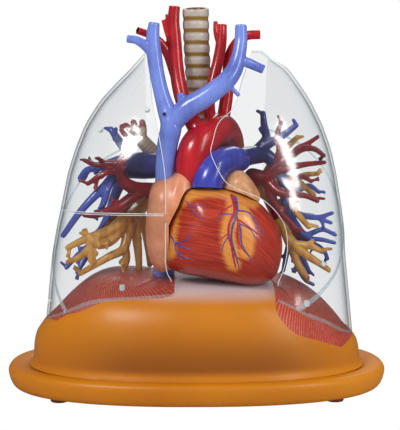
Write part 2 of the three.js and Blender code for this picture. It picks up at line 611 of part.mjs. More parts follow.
function lungShell(lung) {
  const backMargin = [[lung.backMargin, 0], [lung.backMargin, BEYOND / 2], [lung.backMargin, BEYOND]];
  return lungSolid(lung, 0)
    .subtract(lungSolid(lung, SHELL.wall))
    .subtract(marginCut(lung, lung.margin, -BEYOND, SHELL.middleY))
    .subtract(marginCut(lung, backMargin, SHELL.middleY - 0.01, BEYOND))
    .subtract(join(ground));
}

function makeLobes() {
  const half = SHELL.kerf / 2;
  const right = lungShell(RIGHT_LUNG);
  const left = lungShell(LEFT_LUNG);
  const rightUpperPart = right.intersect(halfSpace(RIGHT_OBLIQUE, true, half));
  return {
    right_upper_lobe: rightUpperPart.intersect(halfSpace(RIGHT_HORIZONTAL, true, half)),
    right_middle_lobe: rightUpperPart.intersect(halfSpace(RIGHT_HORIZONTAL, false, half)),
    right_lower_lobe: right.intersect(halfSpace(RIGHT_OBLIQUE, false, half)),
    left_upper_lobe: left.intersect(halfSpace(LEFT_OBLIQUE, true, half)),
    left_lower_lobe: left.intersect(halfSpace(LEFT_OBLIQUE, false, half)),
  };
}

// A point of a branch, moved out with the width of the diaphragm
function spread([x, y, z, radius]) {
  const past = Math.max(Math.abs(x) - BRANCHES.root, 0);
  const stretch = (HILL.halfWidth - BRANCHES.root) / (BRANCHES.chosenAt - BRANCHES.root);
  return [x + Math.sign(x) * past * (stretch - 1), y, z, radius];
}

// A branching tree: thick trunks, then the branches
function tree(trunks, branches, grow) {
  const pieces = trunks.map((path) => tube(path.map(spread), grow, 7, 2));
  for (const branch of branches) {
    pieces.push(tube(branch.map(spread), grow, branch.length > 5 ? 5 : 4, 1));
  }
  return join(pieces);
}

// The windpipe: raised cartilage rings along its path, with a bore at the top
function tracheaSolid(grow) {
  const curve = new THREE.CatmullRomCurve3(TRACHEA_PATH.map((p) => new THREE.Vector3(...p)));
  const path = [];
  const at = (t, radius) => path.push([...curve.getPoint(t), radius + grow]);
  for (let i = 0; i < TRACHEA.ringCount; i += 1) {
    const pitch = TRACHEA.ringLength + TRACHEA.valley;
    const start = (i * pitch) / (TRACHEA.ringCount * pitch);
    const length = TRACHEA.ringLength / (TRACHEA.ringCount * pitch);
    at(start, TRACHEA.radius);
    at(start + length * 0.9, TRACHEA.radius);
    at(start + length * 1.25, TRACHEA.radius - TRACHEA.relief);
  }
  at(1, TRACHEA.radius - TRACHEA.relief);
  return tube(path, 0, 10, 1);
}

function makeTrachea() {
  const [top, below] = TRACHEA_PATH.map((p) => new THREE.Vector3(...p));
  const down = below.clone().sub(top).normalize();
  const start = top.clone().addScaledVector(down, -2);
  const bore = rod(start.toArray(), down.toArray(), TRACHEA.boreDepth, TRACHEA.bore, 12);
  return tracheaSolid(0).subtract(bore);
}

// The removable front wall's space, grown, as the outline carried forward from the split
function frontWallSpace(grow) {
  const { outline } = VENTRICLES;
  const flat = outline.map((p) => new THREE.Vector3(p[0], 0, p[1]));
  const around = new THREE.CatmullRomCurve3(flat, true).getPoints(40).slice(0, 40);
  const centre = new THREE.Vector3();
  around.forEach((p) => centre.addScaledVector(p, 1 / around.length));
  const ring = (y) => around.map((p) => {
    const out = p.clone().sub(centre);
    out.multiplyScalar(1 + grow / out.length());
    return [centre.x + out.x, y, centre.z + out.z];
  });
  const prism = loft([ring(-BEYOND), ring(HEART_SPLIT_Y + grow)]);
  return prism.intersect(block([FRONT_WALL_LEFT - grow, -2 * BEYOND, 0], [BEYOND, BEYOND, BEYOND]));
}

const ventricles = (grow) => pillow(VENTRICLES.outline, VENTRICLES.front, VENTRICLES.back, grow);
const cavities = (grow) => join([
  ellipsoid(RIGHT_CAVITY.centre, RIGHT_CAVITY.radii, -grow),
  ellipsoid(LEFT_CAVITY.centre, LEFT_CAVITY.radii, -grow),
]);

// Each organ as a function of its growth, so that a neighbour can be cut back by the gap
const shape = {
  ventricles,
  trunk: (g) => tube(PULMONARY_TRUNK, g, 14, 2),
  aorta: (g) => tube(AORTA, g, 12, 2),
  cava: (g) => tube(VENA_CAVA, g, 10, 2).add(tube(RIGHT_SUBCLAVIAN_VEIN, g, 8, 1)),
  rightAtrium: (g) => pillow(RIGHT_ATRIUM.outline, RIGHT_ATRIUM.front, RIGHT_ATRIUM.back, g, 2.4, 7, 20),
  leftAuricle: (g) => pillow(LEFT_AURICLE.outline, LEFT_AURICLE.front, LEFT_AURICLE.back, g, 2.2, 6, 14),
  lowerCava: (g) => tube(INFERIOR_CAVA, g, 12, 2),
  leftNeckVein: (g) => join([
    tube(LEFT_NECK_VEIN, g, 10, 2), tube(LEFT_SUBCLAVIAN_VEIN, g, 8, 1), tube(LEFT_VEIN_STUB, g, 6, 1),
    tube(THYMIC_VEIN, g, 8, 1),
  ]),
  rightCarotid: (g) => join([
    tube(RIGHT_CAROTID, g, 10, 2), tube(RIGHT_SUBCLAVIAN, g, 8, 2), tube(RIGHT_VERTEBRAL, g, 6, 1),
  ]),
  leftCarotid: (g) => tube(LEFT_CAROTID, g, 9, 2).add(tube(LEFT_VERTEBRAL, g, 6, 1)),
  leftSubclavian: (g) => tube(LEFT_SUBCLAVIAN, g, 9, 2),
  leftAtrium: (g) => ellipsoid(LEFT_ATRIUM.centre, LEFT_ATRIUM.radii, g),
  rightArtery: (g) => tree([RIGHT_ARTERY_TRUNK], RIGHT_ARTERY, g),
  leftArtery: (g) => tree([LEFT_ARTERY_TRUNK], LEFT_ARTERY, g),
  trachea: (g) => tracheaSolid(g),
  rightBronchi: (g) => tree(
    [RIGHT_BRONCHUS, RIGHT_UPPER_BRONCHUS], [...RIGHT_UPPER_TWIGS, ...RIGHT_BRONCHI], g,
  ),
  leftBronchi: (g) => tree([LEFT_BRONCHUS], LEFT_BRONCHI, g),
  rightVeins: (g) => tree([RIGHT_VEIN_ROOT], RIGHT_VEINS, g),
  leftVeins: (g) => tree([LEFT_VEIN_ROOT], LEFT_VEINS, g),
};
const grown = Object.fromEntries(Object.entries(shape).map(([name, make]) => [name, make(GAP)]));
const wallSpace = frontWallSpace(GAP + WALL_RUN);
const ground = [hillCut, domeSolid(RIGHT_DOME, GAP), domeSolid(LEFT_DOME, GAP)];

// A shape cut back from the named neighbours, keeping its main body
function fitted(whole, neighbours, extra = []) {
  const cuts = [...neighbours.map((name) => grown[name]), ...extra];
  return mainBody(cuts.reduce((made, cut) => made.subtract(cut), whole));
}

// A valve: a short tube with a wider rim, its axis along a direction, seated by its rim
function valve(centre, direction, radius, grow) {
  const from = (share) => centre.map((v, i) => v + direction[i] * share * VALVE.thickness);
  if (grow > 0) {
    const start = from(-0.5 - grow / VALVE.thickness);
    return rod(start, direction, VALVE.thickness + 2 * grow, radius + grow, 14);
  }
  const rim = rod(from(-0.5), direction, VALVE.thickness, radius, 14);
  return rim.subtract(rod(from(-1), direction, VALVE.thickness * 2, radius - VALVE.rim, 10));
}

const VALVES = {
  tricuspid_valve: { centre: [-12, -38, 158], direction: [0.94, 0.34, 0], radius: 8.5 },
  mitral_valve: { centre: [40, -31.5, 152], direction: [0, 1, 0], radius: 9 },
  aortic_valve: { centre: [41, -42, 170], direction: [0, 0, 1], radius: 7 },
  pulmonary_valve: { centre: [8, -55, 192.4], direction: [0, 0, 1], radius: 8 },
};

function makeHeart() {
  const whole = ventricles(0).subtract(hillCut).subtract(cavities(0));
  const split = block([FRONT_WALL_LEFT, -BEYOND, 0], [BEYOND, HEART_SPLIT_Y - GAP / 2, BEYOND]);
  const splitGrown = block([FRONT_WALL_LEFT - GAP, -BEYOND, 0], [BEYOND, HEART_SPLIT_Y + GAP / 2, BEYOND]);
  const pegSpace = join(PEG.places.map(([x, z]) => rod(
    [x, HEART_SPLIT_Y - PEG.reach - GAP, z], [0, 1, 0], 2 * (PEG.reach + GAP), PEG.radius + GAP,
  )));
  let back = whole.subtract(splitGrown).subtract(pegSpace);
  for (const name of ["tricuspid_valve", "mitral_valve", "aortic_valve"]) {
    const { centre, direction, radius } = VALVES[name];
    back = back.subtract(valve(centre, direction, radius, GAP));
  }
  const front = whole.intersect(split).subtract(pegSpace);
  return { heart_back: mainBody(back), heart_front_wall: mainBody(front) };
}

// Papillary muscles rise from the cavity floors of the back half
function makePapillary(path) {
  const behind = block([-BEYOND, HEART_SPLIT_Y + GAP, 0], [BEYOND, BEYOND, BEYOND]);
  return mainBody(tube(path, 0, 7, 2).intersect(cavities(GAP)).intersect(behind));
}

const PAPILLARY = {
  right_papillary_muscle: [[0, -36, 122, 4.5], [-1, -40, 134, 3.6], [-4, -42, 145, 2]],
  left_papillary_muscle: [[45, -36, 118, 4.5], [44, -38, 130, 3.8], [42, -39, 140, 2]],
};

// A locating stud on a dome, inside a lung's front edge
function makeDomeStud([fromX, fromY], dome) {
  const [x, y] = [domeX(dome) + fromX, dome.y + fromY];
  const share = Math.hypot(fromX / dome.halfWidth, fromY / dome.halfDepth);
  const surface = hillHeight(x, y) + dome.bump * Math.max(1 - share * share, 0);
  const pin = rod([x, y, surface - THROUGH], [0, 0, 1], THROUGH + STUD.height, STUD.radius, 10);
  return pin.subtract(domeSolid(dome, GAP)).subtract(hillCut);
}

// Where a lung's front wall lies in y, at x and z
function frontWallY(lung, x, z) {
  const share = Math.min(Math.abs((x - lung.medial) / (lateralX(lung, z) - lung.medial)), 1);
  const reach = interpolate(LUNG_FRONT, z) - SHELL.middleY;
  return SHELL.middleY + reach * (1 - share ** SHELL.power) ** (1 / SHELL.power);
}

const plugX = ({ lung, across }, z) => lung.medial + across * (lateralX(lung, z) - lung.medial);

// A plug's height: its own, or one found in a few steps above the fissure that it keeps to
function plugZ(plug) {
  const { fissure, above } = plug;
  if (!fissure) return plug.z;
  let z = fissure.height;
  for (let i = 0; i < 8; i += 1) {
    const x = plugX(plug, z);
    z = fissure.height + fissure.slopeX * x + fissure.slopeY * frontWallY(plug.lung, x, z) + above;
  }
  return z;
}

// A plug through a lobe's front wall, along the wall's normal there
function plugRod(plug, grow) {
  const z = plugZ(plug);
  const x = plugX(plug, z);
  const wallY = (px, pz) => frontWallY(plug.lung, px, pz);
  const slopeX = (wallY(x + 1, z) - wallY(x - 1, z)) / 2;
  const slopeZ = (wallY(x, z + 1) - wallY(x, z - 1)) / 2;
  const out = new THREE.Vector3(slopeX, -1, slopeZ).normalize();
  const length = SHELL.wall + 2 * PLUG.proud + 4 * grow;
  const start = new THREE.Vector3(x, wallY(x, z), z).addScaledVector(out, PLUG.proud + 2 * grow - length);
  return rod(start.toArray(), out.toArray(), length, PLUG.radius + grow, 10);
}

const colour = {
  ochre: 0xc87a1e, foot: 0x4a2c14, red: 0xcc2d32, blue: 0x6e7dcd, deepBlue: 0x3a3f8c, muscle: 0xbe4426,
  peach: 0xd89a66, dome: 0xaf4132, tan: 0xb08a5a, vein: 0x97202a, clear: 0xd7dee0, valve: 0xe8d9b8,
};

const root = new THREE.Group();

function show(name, made, tint, roughness = 0.5) {
  const mesh = made.getMesh();
  const count = mesh.numVert;
  const position = new Float32Array(count * 3);
  for (let i = 0; i < count; i += 1) {
    position.set(mesh.vertProperties.subarray(i * mesh.numProp, i * mesh.numProp + 3), i * 3);
  }
  const geometry = new THREE.BufferGeometry();
  geometry.setAttribute("position", new THREE.BufferAttribute(position, 3));
  geometry.setIndex(new THREE.BufferAttribute(mesh.triVerts, 1));
  const material = new THREE.MeshStandardMaterial({ color: colour[tint], roughness, metalness: 0 });
  if (tint === "clear") {
    material.transparent = true;
    material.opacity = 0.3;
  }
  const piece = new THREE.Mesh(geometry, material);
  piece.name = name;
  root.add(piece);
}

// Base
show("base_plate", makePlate(), "ochre");
["front_right_foot", "front_left_foot", "back_right_foot", "back_left_foot"].forEach((name, i) => {
  show(name, makeFoot(footPlaces()[i]), "foot");
});
show("diaphragm", makeDiaphragm(), "ochre");
show("right_dome", domeSolid(RIGHT_DOME), "dome");
show("left_dome", domeSolid(LEFT_DOME), "dome");
show("right_dome_stud", makeDomeStud(STUD.right, RIGHT_DOME), "clear", 0.1);
show("left_dome_stud", makeDomeStud(STUD.left, LEFT_DOME), "clear", 0.1);

// Heart
const heart = makeHeart();
show("heart_back", heart.heart_back, "muscle");
show("heart_front_wall", heart.heart_front_wall, "muscle");
PEG.places.forEach(([x, z], i) => {
  const peg = rod([x, HEART_SPLIT_Y - PEG.reach, z], [0, 1, 0], 2 * PEG.reach, PEG.radius);
  show(["lower_wall_peg", "upper_wall_peg"][i], peg, "valve");
});
for (const [name, path] of Object.entries(PAPILLARY)) show(name, makePapillary(path), "muscle");
const trunkValve = VALVES.pulmonary_valve;
for (const [name, { centre, direction, radius }] of Object.entries(VALVES)) {
  show(name, valve(centre, direction, radius, 0), "valve");
}
const pocketFloor = trunkValve.centre.map((v, i) => v - trunkValve.direction[i] * VALVE.pocket);
const valvePocket = rod(
  pocketFloor, trunkValve.direction, VALVE.pocket + VALVE.thickness / 2 + GAP, trunkValve.radius + GAP, 14,
);
show("pulmonary_trunk", fitted(shape.trunk(0), ["ventricles"], [wallSpace, valvePocket]), "deepBlue");
show("aorta", fitted(shape.aorta(0), ["ventricles", "trunk"], [hillCut, wallSpace]), "red");
show("superior_vena_cava", fitted(shape.cava(0), ["aorta"]), "blue");
show("right_atrium", fitted(
  shape.rightAtrium(0), ["ventricles", "aorta", "cava", "trunk"], [wallSpace, hillCut],
), "peach");
show("inferior_vena_cava", fitted(shape.lowerCava(0), ["rightAtrium", "ventricles"], ground), "blue");
show("left_auricle", fitted(shape.leftAuricle(0), ["ventricles", "trunk"], [wallSpace]), "peach");
show("left_neck_vein", fitted(shape.leftNeckVein(0), ["cava", "aorta"]), "blue");
show("right_carotid_artery", fitted(shape.rightCarotid(0), ["aorta", "cava", "leftNeckVein"]), "red");
show("left_carotid_artery", fitted(shape.leftCarotid(0), ["aorta", "rightCarotid", "leftNeckVein"]), "red");
show("left_subclavian_artery", fitted(
  shape.leftSubclavian(0), ["aorta", "leftCarotid", "leftNeckVein"],
), "red");
show("left_atrium", fitted(
  shape.leftAtrium(0), ["ventricles", "rightAtrium", "trunk", "aorta", "leftAuricle", "lowerCava"],
), "peach");

// Lung trees
const middle = ["ventricles", "rightAtrium", "leftAtrium", "leftAuricle", "aorta", "cava", "trunk"];
show("right_pulmonary_artery", fitted(shape.rightArtery(0), middle, ground), "deepBlue");
show("left_pulmonary_artery", fitted(shape.leftArtery(0), [...middle, "rightArtery"], ground), "deepBlue");
const arteries = [...middle, "rightArtery", "leftArtery"];
show("trachea", fitted(makeTrachea(), arteries), "tan");
show("right_bronchi", fitted(shape.rightBronchi(0), [...arteries, "trachea"], ground), "tan");
show("left_bronchi", fitted(shape.leftBronchi(0), [...arteries, "trachea", "rightBronchi"], ground), "tan");
const airways = [...arteries, "trachea", "rightBronchi", "leftBronchi"];
show("right_pulmonary_veins", fitted(shape.rightVeins(0), airways, ground), "vein");
show("left_pulmonary_veins", fitted(shape.leftVeins(0), airways, ground), "vein");

// Clear lungs
const lobes = makeLobes();
for (const [name, plug] of Object.entries(PLUGS)) {
  lobes[plug.lobe] = lobes[plug.lobe].subtract(plugRod(plug, GAP));
  show(name, plugRod(plug, 0), "valve", 0.2);
}
for (const [name, made] of Object.entries(lobes)) show(name, made, "clear", 0.1);

export default root;
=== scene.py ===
# %% [markdown]
# # A heart and lung model, dressed in Blender
#
# The real thing is a classroom model: two clear lungs in separate lobes stand round a painted
# heart with its great vessels, windpipe and bronchial trees, on a domed diaphragm and an oval
# base. Another program built the construction at its real size, and that arrives here as a frame
# of named nodes. This script gives every visible surface its fine form and its finish.
#
# Almost every form here is one of four kinds: a tube along a path, a pillow swollen from an
# outline, a superellipse raised into a hill, and a shell cut by planes. Each is a function that
# works on whole arrays, so a form can be changed by changing a few numbers in millimetres.

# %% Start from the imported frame
import math

import bmesh
import bpy
import numpy as np
from mathutils import Matrix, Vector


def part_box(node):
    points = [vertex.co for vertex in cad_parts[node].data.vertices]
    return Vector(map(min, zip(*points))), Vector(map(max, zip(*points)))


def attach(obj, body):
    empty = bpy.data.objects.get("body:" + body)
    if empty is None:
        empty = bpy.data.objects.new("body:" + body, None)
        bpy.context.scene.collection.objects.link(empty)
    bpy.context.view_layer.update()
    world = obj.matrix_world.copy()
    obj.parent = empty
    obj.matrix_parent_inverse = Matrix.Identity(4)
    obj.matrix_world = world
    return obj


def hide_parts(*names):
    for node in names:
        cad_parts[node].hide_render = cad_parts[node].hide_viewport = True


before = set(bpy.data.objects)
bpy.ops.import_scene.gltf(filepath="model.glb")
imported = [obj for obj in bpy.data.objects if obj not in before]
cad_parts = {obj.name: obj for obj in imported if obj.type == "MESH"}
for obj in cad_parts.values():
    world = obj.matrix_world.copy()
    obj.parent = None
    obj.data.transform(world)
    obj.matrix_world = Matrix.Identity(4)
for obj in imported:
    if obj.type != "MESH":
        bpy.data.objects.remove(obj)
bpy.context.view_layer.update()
MM = 0.001  # the sizes below are in millimetres, and Blender's are in metres


def unit(vector):
    """A direction of length 1, or rows of them."""
    vector = np.asarray(vector, float)
    return vector / np.linalg.norm(vector, axis=-1, keepdims=True)


def show(name, data):
    """A new object in the scene."""
    made = bpy.data.objects.new(name, data)
    bpy.context.scene.collection.objects.link(made)
    return made


# %% [markdown]
# ## Camera and lamps
#
# Such a model is photographed with a long lens, which keeps the ellipse of the base flat. The camera
# stands 1150 mm in front of the origin, 262 mm up, and looks down by 5 degrees, which is what the
# photograph's ellipses and heights ask for. A broad lamp above and in front gives soft shadows, a
# tall narrow one draws a line of light on the clear walls, and one behind lights their rims.

# %% Camera and lamps
CAMERA_AT = (-0.01088, -1.15, 0.2623)
PITCH, YAW = 0.08854, 0.01216  # radians, downwards and to the right
LENS, SENSOR, FARTHEST = 104.5, 36.0, 20
MODEL_MIDDLE = (0, 0, 0.17)
LAMPS = {  # place, width, height and watts
    "soft_key": ((-0.95, -1.3, 1.45), 0.55, 0.55, 18),
    "window_strip": ((1.15, -1.1, 0.95), 0.26, 1.2, 9),
    "back_rim": ((0.15, 1.25, 1.3), 1.0, 1.0, 9),
}


def aim(thing, at, back, right):
    """Stands a camera or lamp at a place, with its back and right axes as columns of its matrix."""
    axes = Matrix(np.column_stack([right, np.cross(back, right), back]).tolist()).to_4x4()
    thing.matrix_world = Matrix.Translation(at) @ axes


camera = show("photo_camera", bpy.data.cameras.new("photo_camera"))
camera.data.lens, camera.data.sensor_width, camera.data.clip_end = LENS, SENSOR, FARTHEST
aim(camera, CAMERA_AT, (
    -math.sin(YAW) * math.cos(PITCH), -math.cos(YAW) * math.cos(PITCH), math.sin(PITCH),
), (math.cos(YAW), -math.sin(YAW), 0))
bpy.context.scene.camera = camera
bpy.context.scene.view_settings.view_transform = "Standard"
for name, (at, width, height, watts) in LAMPS.items():
    lamp = show(name, bpy.data.lights.new(name, "AREA"))
    lamp.data.shape, lamp.data.energy = "RECTANGLE", watts
    lamp.data.size, lamp.data.size_y = width, height
    back = unit(np.subtract(at, MODEL_MIDDLE))
    aim(lamp, at, back, unit(np.cross((0, 0, 1), back)))
print(f"camera with a lens of {LENS} mm, and {len(LAMPS)} lamps")

# %% [markdown]
# ## A finish as a sum of nodes
#
# Paint on a moulded model is never one flat colour: it is thinner on the high spots, and a brush or
# a spray gun leaves its marks. Pictures could show that, but they need unwrapping and blur up close.
# Noise in Object coordinates needs neither, and stays on its piece when the piece moves. Each of
# these helpers adds one node, so that a finish reads as a short sum of colours and heights.

# %% Node helpers
def paint(shade):
    """A shader's colour: (red, green, blue) of 0 to 255 as a painter reads them off a swatch, made
    linear, or a linear grey from one number. A socket passes through."""
    if isinstance(shade, bpy.types.NodeSocket):
        return shade
    if isinstance(shade, (int, float)):
        return (shade, shade, shade, 1.0)
    share = np.array(shade) / 255
    linear = np.where(share <= 0.04045, share / 12.92, ((share + 0.055) / 1.055) ** 2.4)
    return (*linear.tolist(), 1.0)


def add(tree, kind, settings=None, inputs=None):
    """One node, with its settings and its inputs, each a value or the socket that feeds it."""
    made = tree.nodes.new("ShaderNode" + kind)
    for key, value in (settings or {}).items():
        setattr(made, key, value)
    for key, value in (inputs or {}).items():
        if isinstance(value, bpy.types.NodeSocket):
            tree.links.new(value, made.inputs[key])
        else:
            made.inputs[key].default_value = value
    return made


def new_material(name, **sockets):
    """A material with one Principled shader, whose even values are set on its own sockets."""
    material = bpy.data.materials.new(name)
    material.use_nodes = True
    for key, value in sockets.items():
        material.node_tree.nodes["Principled BSDF"].inputs[key.replace("_", " ")].default_value = value
    return material, material.node_tree


def spot(tree):
    """Object coordinates, in metres."""
    return add(tree, "TexCoord").outputs["Object"]


def axis(tree, name):
    """One of the object coordinates."""
    return add(tree, "SeparateXYZ", inputs={"Vector": spot(tree)}).outputs[name]


def noise(tree, scale, detail=3.0, distortion=0.0, where=None):
    """Noise in Object coordinates, with scale in lumps per metre."""
    return add(tree, "TexNoise", inputs={
        "Vector": where or spot(tree), "Scale": scale, "Detail": detail, "Distortion": distortion,
    }).outputs["Fac"]


def ramp(tree, factor, *stops):
    """A ramp through (place, shade) stops."""
    made = add(tree, "ValToRGB", inputs={"Fac": factor})
    elements = made.color_ramp.elements
    while len(elements) < len(stops):
        elements.new(0.5)
    for element, (place, shade) in zip(elements, stops):
        element.position, element.color = place, paint(shade)
    return made.outputs["Color"]


def mix(tree, factor, first, second):
    """Two colours mixed by a factor."""
    inputs = {0: factor, 6: paint(first), 7: paint(second)}
    return add(tree, "Mix", {"data_type": "RGBA"}, inputs).outputs[2]


def maths(tree, how, first, second=0.0):
    """One Math node."""
    return add(tree, "Math", {"operation": how}, {0: first, 1: second}).outputs[0]


def times(tree, first, second):
    """first * second"""
    return maths(tree, "MULTIPLY", first, second)


def plus(tree, first, second):
    """first + second"""
    return maths(tree, "ADD", first, second)


def minus(tree, first, second):
    """first - second"""
    return maths(tree, "SUBTRACT", first, second)


def step(tree, value, low, high, how="SMOOTHSTEP", floor=0.0):
    """From floor at low to 1 at high, by a smooth step."""
    return add(tree, "MapRange", {"interpolation_type": how}, {
        "Value": value, "From Min": low, "From Max": high, "To Min": floor,
    }).outputs["Result"]


def held(tree, name):
    """A number that the mesh holds at each point."""
    return add(tree, "Attribute", {"attribute_name": name}).outputs["Fac"]


def stretched(tree, scale, turn=(0, 0, 0)):
    """Object coordinates turned, then stretched, for fibres and brush marks."""
    inputs = {"Vector": spot(tree), "Rotation": turn}
    inputs = {0: add(tree, "VectorRotate", {"rotation_type": "EULER_XYZ"}, inputs).outputs[0], 1: scale}
    return add(tree, "VectorMath", {"operation": "MULTIPLY"}, inputs).outputs[0]


def coated(material, coat, height, depth, strength=0.6):
    """The material with a colour, and a bump of depth metres where its height goes from 0 to 1."""
    tree = material.node_tree
    shader = tree.nodes["Principled BSDF"]
    bump = add(tree, "Bump", inputs={"Height": height, "Distance": depth, "Strength": strength})
    tree.links.new(coat, shader.inputs["Base Color"])
    tree.links.new(bump.outputs["Normal"], shader.inputs["Normal"])
    return material


def blend(tree, share, first, second, output="Material Output"):
    """Two shaders, mixed by the second one's share, as what the surface shows."""
    both = add(tree, "MixShader", inputs={0: share, 1: first.outputs[0], 2: second.outputs[0]})
    tree.links.new(both.outputs[0], tree.nodes[output].inputs["Surface"])


# %% [markdown]
# ## A white studio
#
# The model stands on a white sweep, a sheet that curves up behind it, so that no horizon shows. The
# sweep and the world are near white where the camera or clear plastic sees them, and dim where
# something glossy mirrors them, so the background is pale without a veil over the model.

# %% Stage
PAPER, PAPER_MIRRORED = 0.84, 0.12
ROOM, ROOM_MIRRORED = 0.62, 0.12


def rays(tree):
    """What the camera sees, straight or through clear plastic, and what a gloss mirrors."""
    ray = add(tree, "LightPath").outputs
    return maths(tree, "MAXIMUM", ray["Is Camera Ray"], ray["Is Transmission Ray"]), ray["Is Glossy Ray"]


def make_stage(side=6.0, front=-3.2, back=3.2, high=5.0):
    """A sweep that is white to the camera and to glass, and pale grey to everything else, in a room
    of the same kind. The sweep's back curves up by a radius of 1 m."""
    turn = np.linspace(0, math.pi / 2, 17)
    profile = [(front, 0.0)] + [(back - 1 + math.sin(a), 1 - math.cos(a)) for a in turn] + [(back, high)]
    mesh = bpy.data.meshes.new("studio_sweep")
    faces = [(2 * i, 2 * i + 1, 2 * i + 3, 2 * i + 2) for i in range(len(profile) - 1)]
    mesh.from_pydata([(x, y, z) for y, z in profile for x in (-side, side)], [], faces)
    material, tree = new_material("studio_paper", Roughness=0.9, Specular_IOR_Level=0.1)
    shader = tree.nodes["Principled BSDF"]
    seen, mirrored = rays(tree)
    tree.links.new(mix(tree, mirrored, PAPER, PAPER_MIRRORED), shader.inputs["Base Color"])
    blend(tree, seen, shader, add(tree, "Emission"))
    mesh.materials.append(material)
    show("studio_sweep", mesh)

    world = bpy.context.scene.world = bpy.data.worlds.new("studio")
    world.use_nodes = True
    tree = world.node_tree
    room = tree.nodes["Background"]
    room.inputs["Color"].default_value = (0.94, 0.97, 1.0, 1)
    seen, mirrored = rays(tree)
    light = minus(tree, ROOM, times(tree, mirrored, ROOM - ROOM_MIRRORED))
    tree.links.new(light, room.inputs["Strength"])
    white = add(tree, "Background", inputs={"Color": paint(1.0)})
    blend(tree, seen, room, white, "World Output")


make_stage()

# %% [markdown]
# ## From arrays to a mesh
#
# A form below is a dictionary of arrays: its points, its four-sided and three-sided faces, and
# any number per point that a material wants to read. One function turns it into a Blender mesh
# with `foreach_set`, which takes whole arrays and so stays fast at a hundred thousand faces.

# %% Meshes from arrays
def rings_form(rings, poles=None, loop=False, **numbers):
    """Rows of rings (row, around, xyz) joined in quads, and turned out by the sign of the volume.
    Each end is a fan to its pole. Without poles, rings of four points end in one flat face each, or
    a loop's last row joins its first."""
    rings = np.asarray(rings, float)
    rows, around = rings.shape[:2]
    points, total, last = rings.reshape(-1, 3), rows * around, (rows - 1) * around
    row, place = np.meshgrid(np.arange(rows if loop else rows - 1), np.arange(around), indexing="ij")
    here, after = row * around + place, row * around + (place + 1) % around
    quads = np.stack([here, after, after + around, here + around], -1).reshape(-1, 4) % total
    tris = np.zeros((0, 3), int)
    numbers = {key: np.asarray(value, float).reshape(-1) for key, value in numbers.items()}
    if poles is not None:
        place = np.arange(around)
        after, tip = (place + 1) % around, np.full(around, total)
        tris = [np.stack([after, place, tip], -1), np.stack([last + place, last + after, tip + 1], -1)]
        tris = np.vstack(tris)
        points = np.vstack([points, *poles])
        numbers = {key: np.append(value, value[[0, last]]) for key, value in numbers.items()}
    elif not loop:
        quads = np.vstack([quads, [[3, 2, 1, 0], [last, last + 1, last + 2, last + 3]]])
    corners = np.vstack([quads[:, :3], quads[:, [0, 2, 3]], tris])
    a, b, c = (points[corners[:, k]] for k in range(3))
    if np.einsum("ij,ij->i", a, np.cross(b, c)).sum() < 0:
        quads, tris = quads[:, ::-1], tris[:, ::-1]
    return {"points": points, "quads": quads, "tris": tris, "numbers": numbers}


def together(forms):
    """Several forms as one."""
    starts = np.cumsum([0] + [len(f["points"]) for f in forms])
    joined = {key: np.vstack([f[key] + s for f, s in zip(forms, starts)]) for key in ("quads", "tris")}
    return {**joined, "points": np.vstack([f["points"] for f in forms]), "numbers": {}}


def make_piece(name, form, *materials):
    """A Blender object from a form in millimetres."""
    mesh = bpy.data.meshes.new(name)
    corners = np.concatenate([form["quads"].ravel(), form["tris"].ravel()])
    totals = np.repeat([4, 3], [len(form["quads"]), len(form["tris"])])
    mesh.vertices.add(len(form["points"]))
    mesh.loops.add(len(corners))
    mesh.polygons.add(len(totals))
    mesh.vertices.foreach_set("co", (form["points"] * MM).astype(np.float32).ravel())
    mesh.loops.foreach_set("vertex_index", corners.astype(np.int32))
    mesh.polygons.foreach_set("loop_start", (np.cumsum(totals) - totals).astype(np.int32))
    mesh.update(calc_edges=True)
    mesh.shade_smooth()
    piece = show(name, mesh)
    store(piece, **form["numbers"])
    for material in materials:
        mesh.materials.append(material)
    return piece


def store(piece, **numbers):
    """Numbers for each point, kept on the mesh for a material to read."""
    for key, value in numbers.items():
        kept = piece.data.attributes.get(key) or piece.data.attributes.new(key, "FLOAT", "POINT")
        kept.data.foreach_set("value", np.asarray(value, np.float32))


def read_points(piece):
    """A piece's points in millimetres."""
    flat = np.empty(len(piece.data.vertices) * 3, np.float32)
    piece.data.vertices.foreach_get("co", flat)
    return flat.reshape(-1, 3).astype(float) / MM


def applied(piece):
    """The piece, with what its modifiers make as its own mesh."""
    bpy.context.view_layer.update()
    mesh = bpy.data.meshes.new_from_object(piece.evaluated_get(bpy.context.evaluated_depsgraph_get()))
    piece.modifiers.clear()
    old, piece.data = piece.data, mesh
    name = old.name
    bpy.data.meshes.remove(old)
    mesh.name = name
    return piece


def carve(piece, cutters, how="DIFFERENCE", slot=0):
    """Cuts a piece by forms or pieces with Boolean modifiers. The cut faces take the piece's
    material of that slot."""
    spare = []
    for cutter in cutters:
        if isinstance(cutter, dict):
            cutter = make_piece("cutter", cutter, *piece.data.materials)
            cutter.data.polygons.foreach_set("material_index", [slot] * len(cutter.data.polygons))
            spare.append(cutter)
        cut = piece.modifiers.new("cut", "BOOLEAN")
        cut.operation, cut.solver, cut.object = how, "MANIFOLD", cutter
    applied(piece)
    for cutter in spare:
        bpy.data.meshes.remove(cutter.data)
    return piece


def melt(piece, voxel, rounds):
    """One even skin over overlapping tubes, smoothed so that the forks flow into each other."""
    skin = piece.modifiers.new("skin", "REMESH")
    skin.mode, skin.voxel_size, skin.use_smooth_shade = "VOXEL", voxel * MM, True
    flow = piece.modifiers.new("flow", "SMOOTH")
    flow.factor, flow.iterations = 0.5, rounds
    applied(piece).data.shade_smooth()
    return piece


